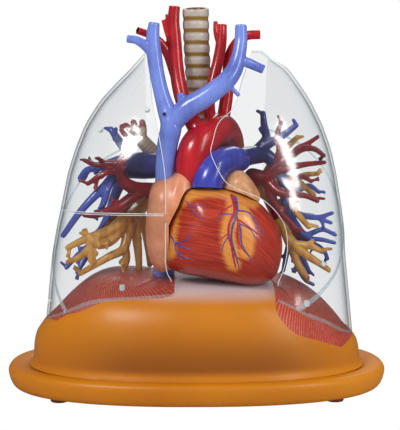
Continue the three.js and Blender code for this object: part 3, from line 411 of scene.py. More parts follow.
def main_body(piece):
    """Keeps a piece's largest connected part: labels spread along edges until they settle."""
    mesh = piece.data
    ends = np.empty(len(mesh.edges) * 2, np.int32)
    mesh.edges.foreach_get("vertices", ends)
    a, b = ends.reshape(-1, 2).T
    label, before = np.arange(len(mesh.vertices)), None
    while before is None or (label != before).any():
        before = label.copy()
        least = np.minimum(label[a], label[b])
        np.minimum.at(label, a, least)
        np.minimum.at(label, b, least)
        label = label[label]
    spare = np.flatnonzero(label != np.bincount(label).argmax())
    if len(spare):
        edited = bmesh.new()
        edited.from_mesh(mesh)
        edited.verts.ensure_lookup_table()
        bmesh.ops.delete(edited, geom=[edited.verts[i] for i in spare], context="VERTS")
        edited.to_mesh(mesh)
        edited.free()
    return piece


def crisp(piece, degrees=35):
    """Smooth shading, with edges sharper than an angle left sharp."""
    piece.data.shade_smooth()
    piece.data.set_sharp_from_angle(angle=math.radians(degrees))
    return piece


def dress(piece, body, slot, *replaced):
    """Tells the frame what carries a piece, and hides the nodes that it stands for. The slot is not used.
    """
    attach(piece, body)
    if replaced:
        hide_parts(*replaced)
    print(f"{piece.name}: {len(piece.data.polygons)} faces on {body}")


# %% [markdown]
# ## Tubes
#
# Arteries, veins, windpipe and bronchi are all tubes along a path of [x, y, z, radius] points.
# The path is smoothed by a centripetal Catmull-Rom curve, which passes through every point and
# doesn't overshoot where points crowd. A ring of points stands square to the path at each step.

# %% Paths and tubes
def hermite(p1, p2, m1, m2, t):
    """The cubic from p1 to p2 with slopes m1 and m2 at its ends."""
    return (
        p1 * (2 * t**3 - 3 * t**2 + 1) + m1 * (t**3 - 2 * t**2 + t)
        + p2 * (3 * t**2 - 2 * t**3) + m2 * (t**3 - t**2)
    )


def smooth_path(points, per_span=8):
    """Centripetal Catmull-Rom: each span is a cubic between its two points, whose end slopes come
    from the neighbouring points, weighted by the square root of the distances between them."""
    p = np.asarray(points, float)
    p = np.vstack([2 * p[0] - p[1], p, 2 * p[-1] - p[-2]])
    gap = np.maximum(np.linalg.norm(np.diff(p[:, :3], axis=0), axis=1) ** 0.5, 1e-4)
    span = np.repeat(np.arange(len(points) - 1), per_span)
    t = (np.tile(np.arange(per_span), len(points) - 1) / per_span)[:, None]
    p0, p1, p2, p3 = (p[span + k] for k in range(4))
    d0, d1, d2 = (gap[span + k][:, None] for k in range(3))
    m1 = ((p1 - p0) / d0 - (p2 - p0) / (d0 + d1) + (p2 - p1) / d1) * d1
    m2 = ((p2 - p1) / d1 - (p3 - p1) / (d1 + d2) + (p3 - p2) / d2) * d1
    return np.vstack([hermite(p1, p2, m1, m2, t), p[-2]])


def smooth_flat(points, per_span):
    """The same for a path of [x, z] points."""
    return smooth_path([(x, 0, z) for x, z in points], per_span)[:, [0, 2]]


def length_along(path):
    """How far each point of a path is from its start."""
    return np.concatenate([[0], np.cumsum(np.linalg.norm(np.diff(path, axis=0), axis=1))])


def turns(count):
    """Angles evenly round a circle."""
    return np.linspace(0, 2 * np.pi, count, endpoint=False)


# How a tube ends, as (distance past the end, share of the radius), in shares of the radius
ROUND = [(0.34, 0.94), (0.64, 0.77), (0.87, 0.5), (0.97, 0.24)]
FLAT = [(0.05, 0.97), (0.08, 0.88)]
SQUARE = [(0.14, 0.97), (0.26, 0.88), (0.33, 0.72), (0.35, 0.5)]
OPEN = [(0.05, 0.97), (0.07, 0.88), (0.04, 0.76), (-0.1, 0.70), (-0.9, 0.62)]


def tube(points, around=24, per_span=8, start=ROUND, end=ROUND):
    """Point(row, angle) = centre + radius * (cos(angle) * side + sin(angle) * other). Side and
    other stand square to the path, and to the direction in which it turns least."""
    path = smooth_path(points, per_span)
    centre, radius = path[:, :3], path[:, 3:]
    tangent = unit(np.gradient(centre, axis=0))
    least = np.linalg.svd(tangent, full_matrices=False)[2][-1]
    side = unit(np.cross(tangent, least))
    other = np.cross(tangent, side)
    last = len(path) - 1
    rows = [(0, -past, share) for past, share in reversed(start)] + [(i, 0.0, 1.0) for i in range(last + 1)]
    rows += [(last, past, share) for past, share in end]
    at = [row[0] for row in rows]
    past, share = np.array(rows).T[1:, :, None]
    middle = centre[at] + tangent[at] * past * radius[at]
    angle = turns(around)[:, None]
    spoke = np.cos(angle) * side[at][:, None] + np.sin(angle) * other[at][:, None]
    return rings_form(middle[:, None] + spoke * (radius[at] * share)[:, None], (middle[0], middle[-1]))


# %% [markdown]
# ## Pillows and superellipses
#
# Heart, atria and auricles are pillows: an outline seen from the front, swollen in depth. At depth
# angle t from front to back the outline is scaled by sin(t) to a power, and stands at cos(t) to
# the same power, so a power of 1 gives an ellipsoid and a smaller power a squarer cushion.

# %% Pillows, superellipses and turned forms
def closed_curve(outline, count, per_span=24, extra=2):
    """A closed Catmull-Rom curve through [x, z] points, as count points evenly along it."""
    looped = [*outline[-extra:], *outline, *outline[:extra + 1]]
    dense = smooth_flat(looped, per_span)[extra * per_span:-(extra * per_span)]
    length = length_along(dense)
    want = np.linspace(0, length[-1], count, endpoint=False)
    return np.column_stack([np.interp(want, length, dense[:, k]) for k in range(2)])


def bent(value, power):
    """value^(2/power), with the sign kept."""
    return np.sign(value) * np.abs(value) ** (2 / power)


def organ(shape, rows=60, around=150, grow=0.0):
    """A pillow: point(t, place) = centre + sin(t)^(2/power) * outline(place), at y from front to
    back as -cos(t)^(2/power), grown outwards by a clearance."""
    centre = closed_curve(shape["outline"], 26).mean(0)
    out = closed_curve(shape["outline"], around) - centre
    out += grow * unit(out)
    middle, half = (shape["front"] + shape["back"]) / 2, (shape["back"] - shape["front"]) / 2 + grow
    t = np.linspace(0.004, 0.996, rows)[:, None] * np.pi
    flat = centre + bent(np.sin(t), shape["power"])[..., None] * out
    depth = middle - bent(np.cos(t), shape["power"]) * half
    rings = np.stack([flat[..., 0], depth + 0 * flat[..., 0], flat[..., 1]], -1)
    return rings_form(rings, [(centre[0], middle + s * half, centre[1]) for s in (-1, 1)])


def superellipse(half_width, half_depth, power, count):
    """x = half width * cos(a)^(2/power), y = half depth * sin(a)^(2/power), signs kept."""
    a = turns(count)
    return np.column_stack([half_width * bent(np.cos(a), power), half_depth * bent(np.sin(a), power)])


def ellipsoid(centre, radii, rows=32, around=48, inset=0.0):
    """Latitude rings of an ellipsoid with its axes along X, Y and Z."""
    radii = np.subtract(radii, inset)
    t = np.linspace(0.02, 0.98, rows)[:, None] * np.pi
    a = turns(around)
    rings = np.stack([np.sin(t) * np.cos(a), np.sin(t) * np.sin(a), -np.cos(t) + 0 * a], -1)
    return rings_form(centre + rings * radii, [np.add(centre, (0, 0, s * radii[2])) for s in (-1, 1)])


def block(low, high):
    """A box between two corners."""
    flat = [(low[0], low[1]), (high[0], low[1]), (high[0], high[1]), (low[0], high[1])]
    return rings_form([[(*corner, z) for corner in flat] for z in (low[2], high[2])])


def turned(profile, at, axis=(0, 0, 1), around=32, loop=False):
    """A solid of revolution from [radius, distance] rows along an axis that starts at a point, or a
    hoop from a loop of rows."""
    profile, axis = np.asarray(profile, float), unit(axis)
    side = unit(np.cross(axis, (0.2, 0.9, 0.4)))
    a = turns(around)[:, None]
    spoke = np.cos(a) * side + np.sin(a) * np.cross(axis, side)
    middle = np.asarray(at, float) + profile[:, 1:] * axis
    rings = middle[:, None] + profile[:, 0][:, None, None] * spoke
    return rings_form(rings, None if loop else (middle[0], middle[-1]), loop)


def rod(middle, axis, reach, radius):
    """A plain cylinder, reach to each side of its middle."""
    return turned([(radius, -reach), (radius, reach)], middle, axis)


def ease(value, low, high):
    """0 below low, 1 above high, and a smooth step between."""
    t = np.clip((value - low) / (high - low), 0, 1)
    return t * t * (3 - 2 * t)

# %% [markdown]
# ## The base and the diaphragm
#
# Base and diaphragm are vacuum-formed or moulded shells, sprayed with a warm ochre that is a
# little glossy. Both could be modelled as subdivided boxes, but their outline in plan is exactly
# a superellipse, so a formula gives the same form with no lumps: the base is that outline carried
# round an edge profile, and the diaphragm is raised over its outline from a crest line.

# %% Sizes of the base and the diaphragm
GAP = 0.3
PLATE = {"half_width": 174.0, "half_depth": 110.0, "power": 2.35, "top": 25.0}
PLATE_EDGE = [  # [height, draw-in]: a side that leans in below, a rounded rim, a flat ledge
    (4, 9.4), (4.4, 8), (5.4, 6.1), (7, 4.3), (9.2, 2.8), (12, 1.6), (15, 0.7), (17.5, 0.2), (19.5, 0),
    (21, 0.15), (22.4, 0.7), (23.6, 1.7), (24.5, 3.1), (24.95, 4.9), (25, 7), (25, 12), (24.7, 15.5),
    (24.2, 16.6), (24, 18),
]
HILL = {"half_width": 151.0, "half_depth": 99.0, "power": 2.3, "wall": 9.0}
FOOT_FLARE, FLARE_HEIGHT = (4.0, 2.2), 6
HILL_CREST = np.array([  # [share of the half width, height]
    [-1, 25], [-0.987, 48], [-0.954, 60], [-0.887, 70], [-0.768, 85], [-0.656, 96], [-0.55, 102],
    [-0.444, 104], [-0.238, 106], [-0.126, 107], [0.132, 107], [0.331, 106], [0.437, 103],
    [0.523, 98], [0.642, 87], [0.781, 73], [0.907, 58], [0.967, 50], [0.987, 40], [1, 25],
])
DOMES = {
    "right_dome": {"x": -81.0, "half_width": 52.0, "half_depth": 70.0, "bump": 7.0, "power": 2.2},
    "left_dome": {"x": 102.0, "half_width": 37.0, "half_depth": 68.0, "bump": 10.0, "power": 2.0},
}
DOME_THICKNESS, DOME_ROLL, SEAT_TOP, SPOKES = 3.0, 0.9, 200.0, 150
FOOT_PROFILE = [
    (6.4, 0), (7.2, 0.25), (7.8, 0.8), (8, 1.5), (7.8, 3.2), (7.5, 3.7), (3, 3.7), (3, 8.6), (2.4, 9),
]


def crest_height(share):
    """Cubic Hermite through the crest table, with slopes from the neighbouring rows."""
    places, heights = HILL_CREST.T
    k = np.clip(np.searchsorted(places, share, side="right") - 1, 0, len(places) - 2)
    before, after = np.maximum(k - 1, 0), np.minimum(k + 2, len(places) - 1)
    width = places[k + 1] - places[k]
    m1 = (heights[k + 1] - heights[before]) / (places[k + 1] - places[before]) * width
    m2 = (heights[after] - heights[k]) / (places[after] - places[k]) * width
    return hermite(heights[k], heights[k + 1], m1, m2, np.clip((share - places[k]) / width, 0, 1))


def plan_share(x, y):
    """How far y is on its way from the middle to the diaphragm's outline."""
    along = np.minimum(np.abs(x) / HILL["half_width"], 1)
    edge = HILL["half_depth"] * (1 - along ** HILL["power"]) ** (1 / HILL["power"])
    return np.abs(y) / np.maximum(edge, 1e-6)


def hill_height(x, y):
    """plate top + (crest - plate top) * (1 - share^5)^0.4"""
    share = np.minimum(plan_share(x, y), 1)
    return PLATE["top"] + (crest_height(x / HILL["half_width"]) - PLATE["top"]) * (1 - share**5) ** 0.4


def hill_rings(grow, shares, foot, around=220):
    """Rings over the diaphragm, one for each share of its outline, none of them below its foot.
    Outside, the foot flares out a little."""
    outline = superellipse(HILL["half_width"], HILL["half_depth"], HILL["power"], around)
    inner = outline * shares[:, None, None]
    height = hill_height(*np.moveaxis(inner, -1, 0))[..., None] + grow
    flare = np.clip((PLATE["top"] + FLARE_HEIGHT - height) / FLARE_HEIGHT, 0, 1) ** 2 * (grow >= 0)
    reach = grow + flare * FOOT_FLARE
    stretch = 1 + reach / (HILL["half_width"], HILL["half_depth"])
    return np.concatenate([inner * stretch, np.maximum(height, foot)], -1)


def lowered(ring, height):
    """A ring set down at a height."""
    return np.column_stack([ring[:, :2], np.full(len(ring), height)])[None]


def hill_form(grow=0.0, foot=PLATE["top"] + 0.04, hollow=True):
    """Outside rings from the top down to the foot, then the hollow's rings back up."""
    shares = 1 - (1 - np.linspace(0, 1, 66)[1:]) ** 2.3
    outside = hill_rings(grow, shares, foot + 0.4)
    rows = [outside, lowered(outside[-1], foot)]
    top = np.array([0, 0, hill_height(0.0, 0.0) + grow])
    under = (0, 0, foot)
    if hollow:
        inside = hill_rings(-HILL["wall"], shares[::-3], foot + 0.5)
        rows += [lowered(inside[0], foot), inside]
        under = top - (0, 0, HILL["wall"])
    return rings_form(np.concatenate(rows), (top, under))


def dome_form(dome, grow=0.0, seat=None):
    """Under rings that follow the diaphragm, and over rings that swell by bump * (1 - share^2).
    The rim is rolled over within the last few shares. The seat is cut straight up to a height."""
    outline = superellipse(dome["half_width"] + grow, dome["half_depth"] + grow, dome["power"], 140)

    def layer(shares, rise):
        shares = np.reshape(shares, (-1, 1))
        x, y = np.moveaxis(outline * shares[..., None], -1, 0)
        x = x + dome["x"]
        return np.stack([x, y, rise(x, y, shares)], -1)

    def under(x, y, _):
        return hill_height(x, y) - DOME_THICKNESS - grow

    def over(x, y, share):
        if seat:
            return 0 * x + seat
        roll = DOME_ROLL * np.clip((share - 0.93) / 0.07, 0, 1) ** 3
        return hill_height(x, y) + dome["bump"] * (1 - share * share) + grow - roll

    shares = np.concatenate([np.linspace(0.03, 0.9, 26), [0.93, 0.955, 0.975, 0.99, 1.0]])
    back = [1.0, 0.03] if seat else shares[::-1]
    poles = [(dome["x"], 0, rise(dome["x"], 0.0, 0.0)) for rise in (under, over)]
    share = np.concatenate([shares, back])[:, None] * np.ones(len(outline))
    return rings_form(np.concatenate([layer(shares, under), layer(back, over)]), poles, share=share)


def plate_form():
    """The plate's outline carried round its edge's rows."""
    rings = [lowered(superellipse(
        PLATE["half_width"] - inset, PLATE["half_depth"] - inset, PLATE["power"], 240,
    ), z)[0] for z, inset in PLATE_EDGE]
    return rings_form(rings, [(0, 0, PLATE_EDGE[k][0]) for k in (0, -1)])


print(f"the diaphragm stands {hill_height(0.0, 0.0):.1f} mm high in the middle")


# %% [markdown]
# The ochre is sprayed on: nearly even, a little mottled at the scale of a hand, with a fine
# orange-peel skin that breaks up the highlights. Painted shade makes the front browner towards the
# middle, and more so low on the skirt, and under the heart the crest is dusted with the lilac white
# of the central tendon.

# %% Finishes of the base and the diaphragm
def ochre_material(name, over=lambda tree, coat: coat):
    """The sprayed ochre, with what lies over it."""
    material, tree = new_material(
        name, Roughness=0.36, Coat_Weight=0.14, Specular_IOR_Level=0.3, Coat_Roughness=0.28,
    )
    mottle = noise(tree, 9, 4)
    coat = ramp(tree, mottle, (0.3, (194, 114, 2)), (0.7, (212, 130, 4)))
    # Painted shade: browner towards the middle of the front, and more so low on the skirt, fading out just
    # above the foot.
    middle = step(tree, maths(tree, "ABSOLUTE", axis(tree, "X")), 0.15, 0.05, floor=0.15)
    above_low = step(tree, axis(tree, "Z"), 0.03, 0.09, "SMOOTHERSTEP")
    above_plate = step(tree, axis(tree, "Z"), 0.0262, 0.037, "SMOOTHERSTEP")
    skirt_shade = times(tree, times(tree, minus(tree, 1.0, above_low), above_plate), middle)
    # Painted shade in two browns: a little over the middle, more on the low skirt.
    coat = mix(tree, times(tree, middle, 0.22), coat, (150, 76, 4))
    coat = mix(tree, times(tree, skirt_shade, 0.8), coat, (126, 62, 4))
    roughness = tree.nodes["Principled BSDF"].inputs["Roughness"]
    tree.links.new(ramp(tree, mottle, (0.3, 0.34), (0.7, 0.44)), roughness)
    return coated(material, over(tree, coat), noise(tree, 900, 2), 0.00012, 0.5)


def striped_red(tree):
    """Red muscle brushed with pale spokes that follow the number of spokes round a dome's loop.
    Returns the colour and the height of the brush marks."""
    stripes = maths(tree, "SINE", held(tree, "spoke"))
    height = plus(tree, times(tree, stripes, 0.5), noise(tree, 260, 2))
    red = ramp(tree, noise(tree, 22, 3), (0.3, (156, 40, 24)), (0.75, (182, 60, 40)))
    line = ramp(tree, height, (0.62, 0.0), (0.98, 1.0))
    reach = ramp(tree, held(tree, "share"), (0.25, 0.9), (0.78, 0.75), (1.0, 0.45))
    return mix(tree, times(tree, line, reach), red, (208, 136, 112)), height


def tendon_and_red(tree, ochre):
    """Ochre, dusted with white along the crest and brushed with the domes' red round each cap."""
    veil = times(tree, held(tree, "tendon"), ramp(tree, noise(tree, 30, 4), (0.2, 0.8), (0.7, 1.0)))
    pale = mix(tree, noise(tree, 60, 3), (206, 194, 200), (190, 172, 176))
    inside = ramp(tree, plus(tree, held(tree, "muscle"), 0.5), (0.485, 0.0), (0.515, 1.0))
    return mix(tree, inside, mix(tree, veil, ochre, pale), striped_red(tree)[0])


def dome_material():
    """The striped red, paling to white where the tendon runs out over a dome."""
    material, tree = new_material("striped_muscle", Roughness=0.42, Coat_Weight=0.15)
    red, height = striped_red(tree)
    veil = times(tree, held(tree, "tendon"), ramp(tree, noise(tree, 45, 4), (0.25, 0.7), (0.7, 1.0)))
    return coated(material, mix(tree, veil, red, (196, 184, 182)), height, 0.00035, 0.7)


def rubber_material():
    """Dull brown rubber with a fine grain."""
    material, tree = new_material("dark_rubber", Roughness=0.75)
    coat = ramp(tree, noise(tree, 240, 4), (0.3, (120, 58, 34)), (0.8, (150, 80, 48)))
    return coated(material, coat, noise(tree, 1500, 2), 0.0001)


# %% Base, diaphragm, domes and feet
def tendon_share(points):
    """How much of the pale central tendon shows: along the crest under the heart."""
    x, y, z = points.T
    across = ease(x, -64, -22) * (1 - ease(x, 62, 82))
    return across * ease(z, 88, 104) * (1 - ease(np.abs(y), 80, 95))


def crest_share(points, dome):
    """The domes pale at their inner end and at the back of the crest, where the tendon runs out."""
    x, y, _ = points.T
    toward = (x - dome["x"]) / dome["half_width"] * (1 if dome["x"] < 0 else -1)
    return np.clip(0.9 * ease(toward, 0.86, 1.1) + 0.5 * ease(y, -12, 22), 0, 1)


def muscle_edge(points):
    """A signed distance, in roundings, from the line where the painted red ends on the diaphragm:
    d = 1 - sqrt(max(1 - a, 0)^2 + max(1 - b, 0)^2), where a grows outwards from an inner edge and b
    grows upwards from a share of the hill's outline, over the front half."""
    x, y, z = points.T
    share = plan_share(x, y)
    a = np.where(x < 0, (-20 - x) / 12, (x - 68) / 22)
    low = np.where(x < 0, (z - 70) / 6, (z - 43 - np.maximum(x - 120, 0) * 0.5) / 8)
    b = np.where(x < 0, (0.795 - share) / 0.06, (0.95 - share) / 0.1)
    b = np.minimum(b, low) - np.maximum(y + 20, 0) / 25
    return 1 - np.hypot(np.maximum(1 - a, 0), np.maximum(1 - b, 0))


def spoke_turn(points, dome):
    """The turn round a dome's middle, times the number of spokes."""
    x, y, _ = points.T
    return SPOKES * np.arctan2(y / dome["half_depth"], (x - dome["x"]) / dome["half_width"])


base = make_piece("base_moulding", plate_form(), ochre_material("ochre_spray"))
dress(base, "stand", "ochre", "base_plate")

hill = make_piece("diaphragm_moulding", hill_form(), ochre_material("ochre_with_tendon", tendon_and_red))
for dome in DOMES.values():
    carve(hill, [dome_form(dome, GAP, SEAT_TOP)])
crisp(hill)
place = read_points(hill)
spokes = np.where(place[:, 0] < 0, *(spoke_turn(place, dome) for dome in DOMES.values()))
store(hill, tendon=tendon_share(place), muscle=muscle_edge(place), share=0.95 + 0 * spokes, spoke=spokes)
dress(hill, "stand", "ochre", "diaphragm")

striped = dome_material()
for name, dome in DOMES.items():
    cap = make_piece(name + "_cap", dome_form(dome), striped)
    place = read_points(cap)
    store(cap, spoke=spoke_turn(place, dome), tendon=crest_share(place, dome))
    dress(crisp(cap, 50), "stand", "dome_red", name)

rubber = rubber_material()
for name in ("front_right_foot", "front_left_foot", "back_right_foot", "back_left_foot"):
    low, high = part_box(name)
    foot = turned(FOOT_PROFILE, [(low[0] + high[0]) / 2 / MM, (low[1] + high[1]) / 2 / MM, 0])
    dress(crisp(make_piece(name + "_pad", foot, rubber)), "stand", "foot_brown", name)

# What stands on the ground is cut by these: the diaphragm and the two domes, grown by the gap
ground = [hill_form(GAP, 0.0, hollow=False)] + [dome_form(dome, GAP) for dome in DOMES.values()]

# %% [markdown]
# ## The clear lungs
#
# Each lung is a thin clear moulding in the form of a lung's front and side, cut into lobes along
# the fissures. The wall is 2 mm. Its plan at every height is half a superellipse, wide at the base
# and closing to the apex. The same form made 2 mm smaller is cut out of it, then the edges near
# the heart, the ground that it stands on, and last the fissure planes. Cutting solids keeps the
# wall's thickness true at every edge, which is what makes clear plastic look like plastic.

# %% Lung sizes
WALL, LUNG_BOTTOM, LUNG_POWER, MIDDLE_Y, KERF, FAR = 2.0, 40.0, 2.5, 1.0, 0.4, 500.0
LUNG_FRONT = np.array([  # [z, y]
    [40, -84], [80, -81], [100, -77], [167, -76], [195, -72], [210, -70], [231, -64], [259, -50],
    [284, -32], [300, -17], [311, -6],
])
LUNG_BACK = np.array([
    [40, 82], [100, 78], [150, 77], [200, 72], [231, 66], [259, 55], [284, 40], [300, 26], [311, 13],
])
LUNGS = {  # inset is [z, distance inside the diaphragm's end], margin the cut front edge, [x, z]
    "right": {
        "side": -1, "medial": -16.0, "back_margin": -48.0, "dome": 0,
        "inset": np.array([
            [40, 10], [66, 12], [96, 15], [126, 18], [148, 22], [171, 27], [200, 33], [222, 40],
            [244, 49], [266, 63], [281, 77], [295, 91], [311, 105],
        ]),
        "margin": [
            (-22, 30), (-22, 109), (-25, 115), (-27, 124), (-27, 140), (-27, 195), (-28.5, 210),
            (-32, 231), (-38, 259), (-41, 284), (-43, 320),
        ],
    },
    "left": {
        "side": 1, "medial": 8.0, "back_margin": 66.0, "dome": 1,
        "inset": np.array([
            [40, 5.5], [65, 8], [96, 11], [126, 14], [148, 15], [170, 18], [200, 23], [222, 28],
            [244, 36], [266, 47], [281, 57], [296, 68], [311, 91],
        ]),
        "margin": [
            (84, 30), (79, 70), (73, 82), (70, 95), (70, 107), (73, 114), (76.5, 126), (78, 141),
            (74, 160), (57, 179), (32, 190), (24, 195), (15, 210), (11, 221), (13, 231), (18, 246),
            (31, 259), (41, 287), (54, 320),
        ],
    },
}
FISSURES = {  # planes, z = height + slope x * x + slope y * y
    "right_oblique": (154.4, 0.1, 1.2), "right_horizontal": (167.0, 0.0, 0.0),
    "left_oblique": (177.0, -0.104, 1.227),
}
LOBES = {  # the lung, and each fissure with the side of it, 1 above and -1 below
    "right_upper_lobe": ("right", {"right_oblique": 1, "right_horizontal": 1}),
    "right_middle_lobe": ("right", {"right_oblique": 1, "right_horizontal": -1}),
    "right_lower_lobe": ("right", {"right_oblique": -1}),
    "left_upper_lobe": ("left", {"left_oblique": 1}),
    "left_lower_lobe": ("left", {"left_oblique": -1}),
}
THREAD_RADIUS, THREAD_INSET, THREAD_TOP = 0.3, 0.7, 306
PLUG_RADIUS, PLUG_PROUD = 2.0, 1.0
PLUGS = {  # lobe, lung, share of the way across to the widest x, height or height over a fissure
    "right_upper_plug": ("right_upper_lobe", "right", 0.8, 240.0, None),
    "right_apex_plug": ("right_upper_lobe", "right", 0.363, 258.0, None),
    "left_fissure_plug": ("left_upper_lobe", "left", 0.804, 22.0, "left_oblique"),
    "right_rim_plug": ("right_lower_lobe", "right", 0.974, 84.0, None),
}
STUD_RADIUS, STUD_HEIGHT = 2.6, 4.0
STUDS = {"right_dome": (15, -62), "left_dome": (-5, -57)}  # from the dome's middle


def soft_table(rows, at, blur=5.0):
    """A [place, value] table read in straight lines and averaged over a few millimetres, so that
    the highlights on the wall don't break at its rows. At both ends it keeps the table's value."""
    room = np.minimum(blur, np.minimum(at - rows[0, 0], rows[-1, 0] - at)).clip(0)
    return np.mean([np.interp(at + room * r, *rows.T) for r in np.linspace(-1, 1, 9)], axis=0)


def lung_reach(lung, z):
    """The widest x, and the front and back reach in y, at height z."""
    widest = lung["side"] * (HILL["half_width"] - soft_table(lung["inset"], z))
    return widest, soft_table(LUNG_FRONT, z), soft_table(LUNG_BACK, z)


def lung_plan(lung, angle, z, inset):
    """x = medial + (widest - medial) * sin(angle)^(2/power), y = middle + reach * |cos(angle)|^
    (2/power), with the front's reach before a quarter turn and the back's after it."""
    widest, front, back = lung_reach(lung, z)
    reach = np.where(angle < np.pi / 2, front + inset, back - inset) - MIDDLE_Y
    x = lung["medial"] + (widest - lung["side"] * inset - lung["medial"]) * bent(np.sin(angle), LUNG_POWER)
    return x, MIDDLE_Y + reach * np.abs(bent(np.cos(angle), LUNG_POWER))


def along_wall(share):
    """The other share of a superellipse's quarter."""
    return (1 - np.clip(np.abs(share), 0, 1) ** LUNG_POWER) ** (1 / LUNG_POWER)


def front_wall_y(lung, x, z):
    """Where a lung's front wall lies in y, from the plan's formula."""
    widest, front, _ = lung_reach(lung, z)
    return MIDDLE_Y + (front - MIDDLE_Y) * along_wall((x - lung["medial"]) / (widest - lung["medial"]))


def lung_form(lung, inset, rows=96, around=90):
    """A whole lung. The inside runs past the medial face and the bottom, so that the shell is open
    there."""
    share = 1 - (1 - np.linspace(0, 1, rows)[:, None]) ** 1.35
    level = LUNG_BOTTOM + (lung["inset"][-1, 0] - LUNG_BOTTOM) * share
    x, y = lung_plan(lung, np.linspace(0, np.pi, around), level, inset)
    height = level - inset
    if inset:
        x[:, [0, -1]] = lung["medial"] - lung["side"] * 20
        height[0] = LUNG_BOTTOM - 10
    rings = np.stack([x, y, height + 0 * x], -1)
    return rings_form(rings, (rings[0].mean(0), rings[-1].mean(0)))


def fissure_z(fissure, x, y, away=0.0):
    """The height of a fissure plane over a point, at a distance from the plane itself."""
    height, slope_x, slope_y = FISSURES[fissure]
    return height + slope_x * x + slope_y * y + away * math.hypot(1, slope_x, slope_y)


def half_space(fissure, sign):
    """Everything above or below a fissure plane, kept half a kerf back from it."""
    flat = [(-FAR, -FAR), (FAR, -FAR), (FAR, FAR), (-FAR, FAR)]
    plane = [(x, y, fissure_z(fissure, x, y, sign * KERF / 2)) for x, y in flat]
    return rings_form([plane, [(x, y, sign * 4 * FAR) for x, y in flat]])


def margin_form(edge, side, low, high):
    """The cutter for an edge next to the heart: a wall of points on the edge, and one far away."""
    far = -side * FAR
    return rings_form([[(x, low, z), (x, high, z), (far, high, z), (far, low, z)] for x, z in edge])


for name, lung in LUNGS.items():
    print(f"the {name} lung reaches x = {lung_reach(lung, 100.0)[0]:.1f} mm at 100 mm up")


# %% [markdown]
# ## Clear plastic
#
# Real clear plastic bends light on its way in and out. A refracting shader shows that, but through
# four walls in a row it turns dark and grainy. A wall of 2 mm hardly moves what lies behind it, so
# here light goes straight through, and what is left is the mirror on the surface and a grey tint
# near the outline. Sawn edges are frosted and gather light, so they have a paler finish.

# %% Clear plastic
def clear_material():
    """Thin clear plastic: light goes straight through with a faint cool tint, more where the wall
    is seen edge-on. Where a ray enters the wall it mirrors the room by Schlick's formula,
    share = 0.12 + 0.9 * facing^5, with facing going from 0 square-on to 1 edge-on."""
    material, tree = new_material("clear_plastic")
    tree.nodes.remove(tree.nodes["Principled BSDF"])
    waves = noise(tree, 19, 2, 0.6)
    waves = add(tree, "Bump", inputs={"Height": waves, "Distance": 0.004, "Strength": 0.5})
    facing = add(tree, "LayerWeight").outputs["Facing"]
    tint = ramp(
        tree, facing, (0.0, (253, 254, 254)), (0.6, (252, 253, 254)), (0.9, (238, 241, 243)),
        (0.99, (150, 160, 166)),
    )
    through = add(tree, "BsdfTransparent", inputs={"Color": tint})
    mirror = add(tree, "BsdfGlossy", inputs={
        "Color": paint(1.0), "Roughness": 0.14, "Normal": waves.outputs["Normal"],
    })
    schlick = plus(tree, times(tree, maths(tree, "POWER", facing, 5.0), 0.9), 0.12)
    enters = minus(tree, 1.0, add(tree, "NewGeometry").outputs["Backfacing"])
    blend(tree, times(tree, schlick, enters), through, mirror)
    return material


def edge_material(name, coat, share):
    """A sawn or moulded edge of clear plastic, which gathers light and looks frosted."""
    material, tree = new_material(name, Roughness=0.3)
    frost = ramp(tree, noise(tree, 700, 2), (0.3, coat), (0.8, [min(c + 18, 255) for c in coat]))
    coated(material, frost, noise(tree, 1600, 2), 0.00008, 0.5)
    through = add(tree, "BsdfTransparent", inputs={"Color": paint((240, 246, 247))})
    blend(tree, share, through, tree.nodes["Principled BSDF"])
    return material


walls = clear_material(), edge_material("frosted_edge", (226, 232, 234), 0.18)
plug_plastic = edge_material("milky_plug", (216, 222, 222), 0.75)
# The threads' finishes: the bright one paints the line of light along polished edges as a painted
# highlight, the soft one a grey line along the oblique fissures.
edges = {
    "bright": edge_material("painted_highlight_edge", (246, 249, 250), 0.8),
    "soft": edge_material("shaded_edge", (176, 184, 188), 0.5),
}
print("finishes so far:", len(bpy.data.materials))


# %% [markdown]
# ## From shells to lobes
#
# A lobe is what is left of a shell between its fissure planes. Small plugs bridge the seams, and a
# stud on each dome locates a lobe on the diaphragm. Polished rims look bright on the real thing,
# because light runs along inside the plastic and comes out there. A thin pale thread in the middle
# of the wall paints that line in as a painted highlight, which shows from every side, as no surface
# finish does. Grey threads along the oblique fissures paint their darker line.

# %% Cutting the lobes
def lung_shell(name, lung):
    """The wall of one whole lung: outside minus inside, minus margins, minus the ground."""
    front = margin_form(smooth_flat(lung["margin"], 6), lung["side"], -FAR, MIDDLE_Y)
    levels = [(lung["back_margin"], z) for z in (0, 60, 120, 180, 240, 330)]
    back = margin_form(levels, lung["side"], MIDDLE_Y - 0.01, FAR)
    shell = carve(make_piece(f"{name}_lung_shell", lung_form(lung, 0.0), *walls), [lung_form(lung, WALL)])
    return carve(shell, [front, back, ground[0], ground[1 + lung["dome"]]], slot=1)


def plug_line(_, side, across, z, fissure):
    """A point on the wall's outside and the direction straight out of it."""
    lung = LUNGS[side]
    x_at = lambda level: lung["medial"] + across * (lung_reach(lung, level)[0] - lung["medial"])
    above, z = z, FISSURES[fissure][0] if fissure else z
    for _ in range(8 if fissure else 0):
        z = fissure_z(fissure, x_at(z), front_wall_y(lung, x_at(z), z)) + above
    wall_y = lambda dx, dz: float(front_wall_y(lung, x_at(z) + dx, z + dz))
    out = (wall_y(1, 0) - wall_y(-1, 0)) / 2, -1.0, (wall_y(0, 1) - wall_y(0, -1)) / 2
    return np.array([x_at(z), wall_y(0, 0), z], float), unit(out)


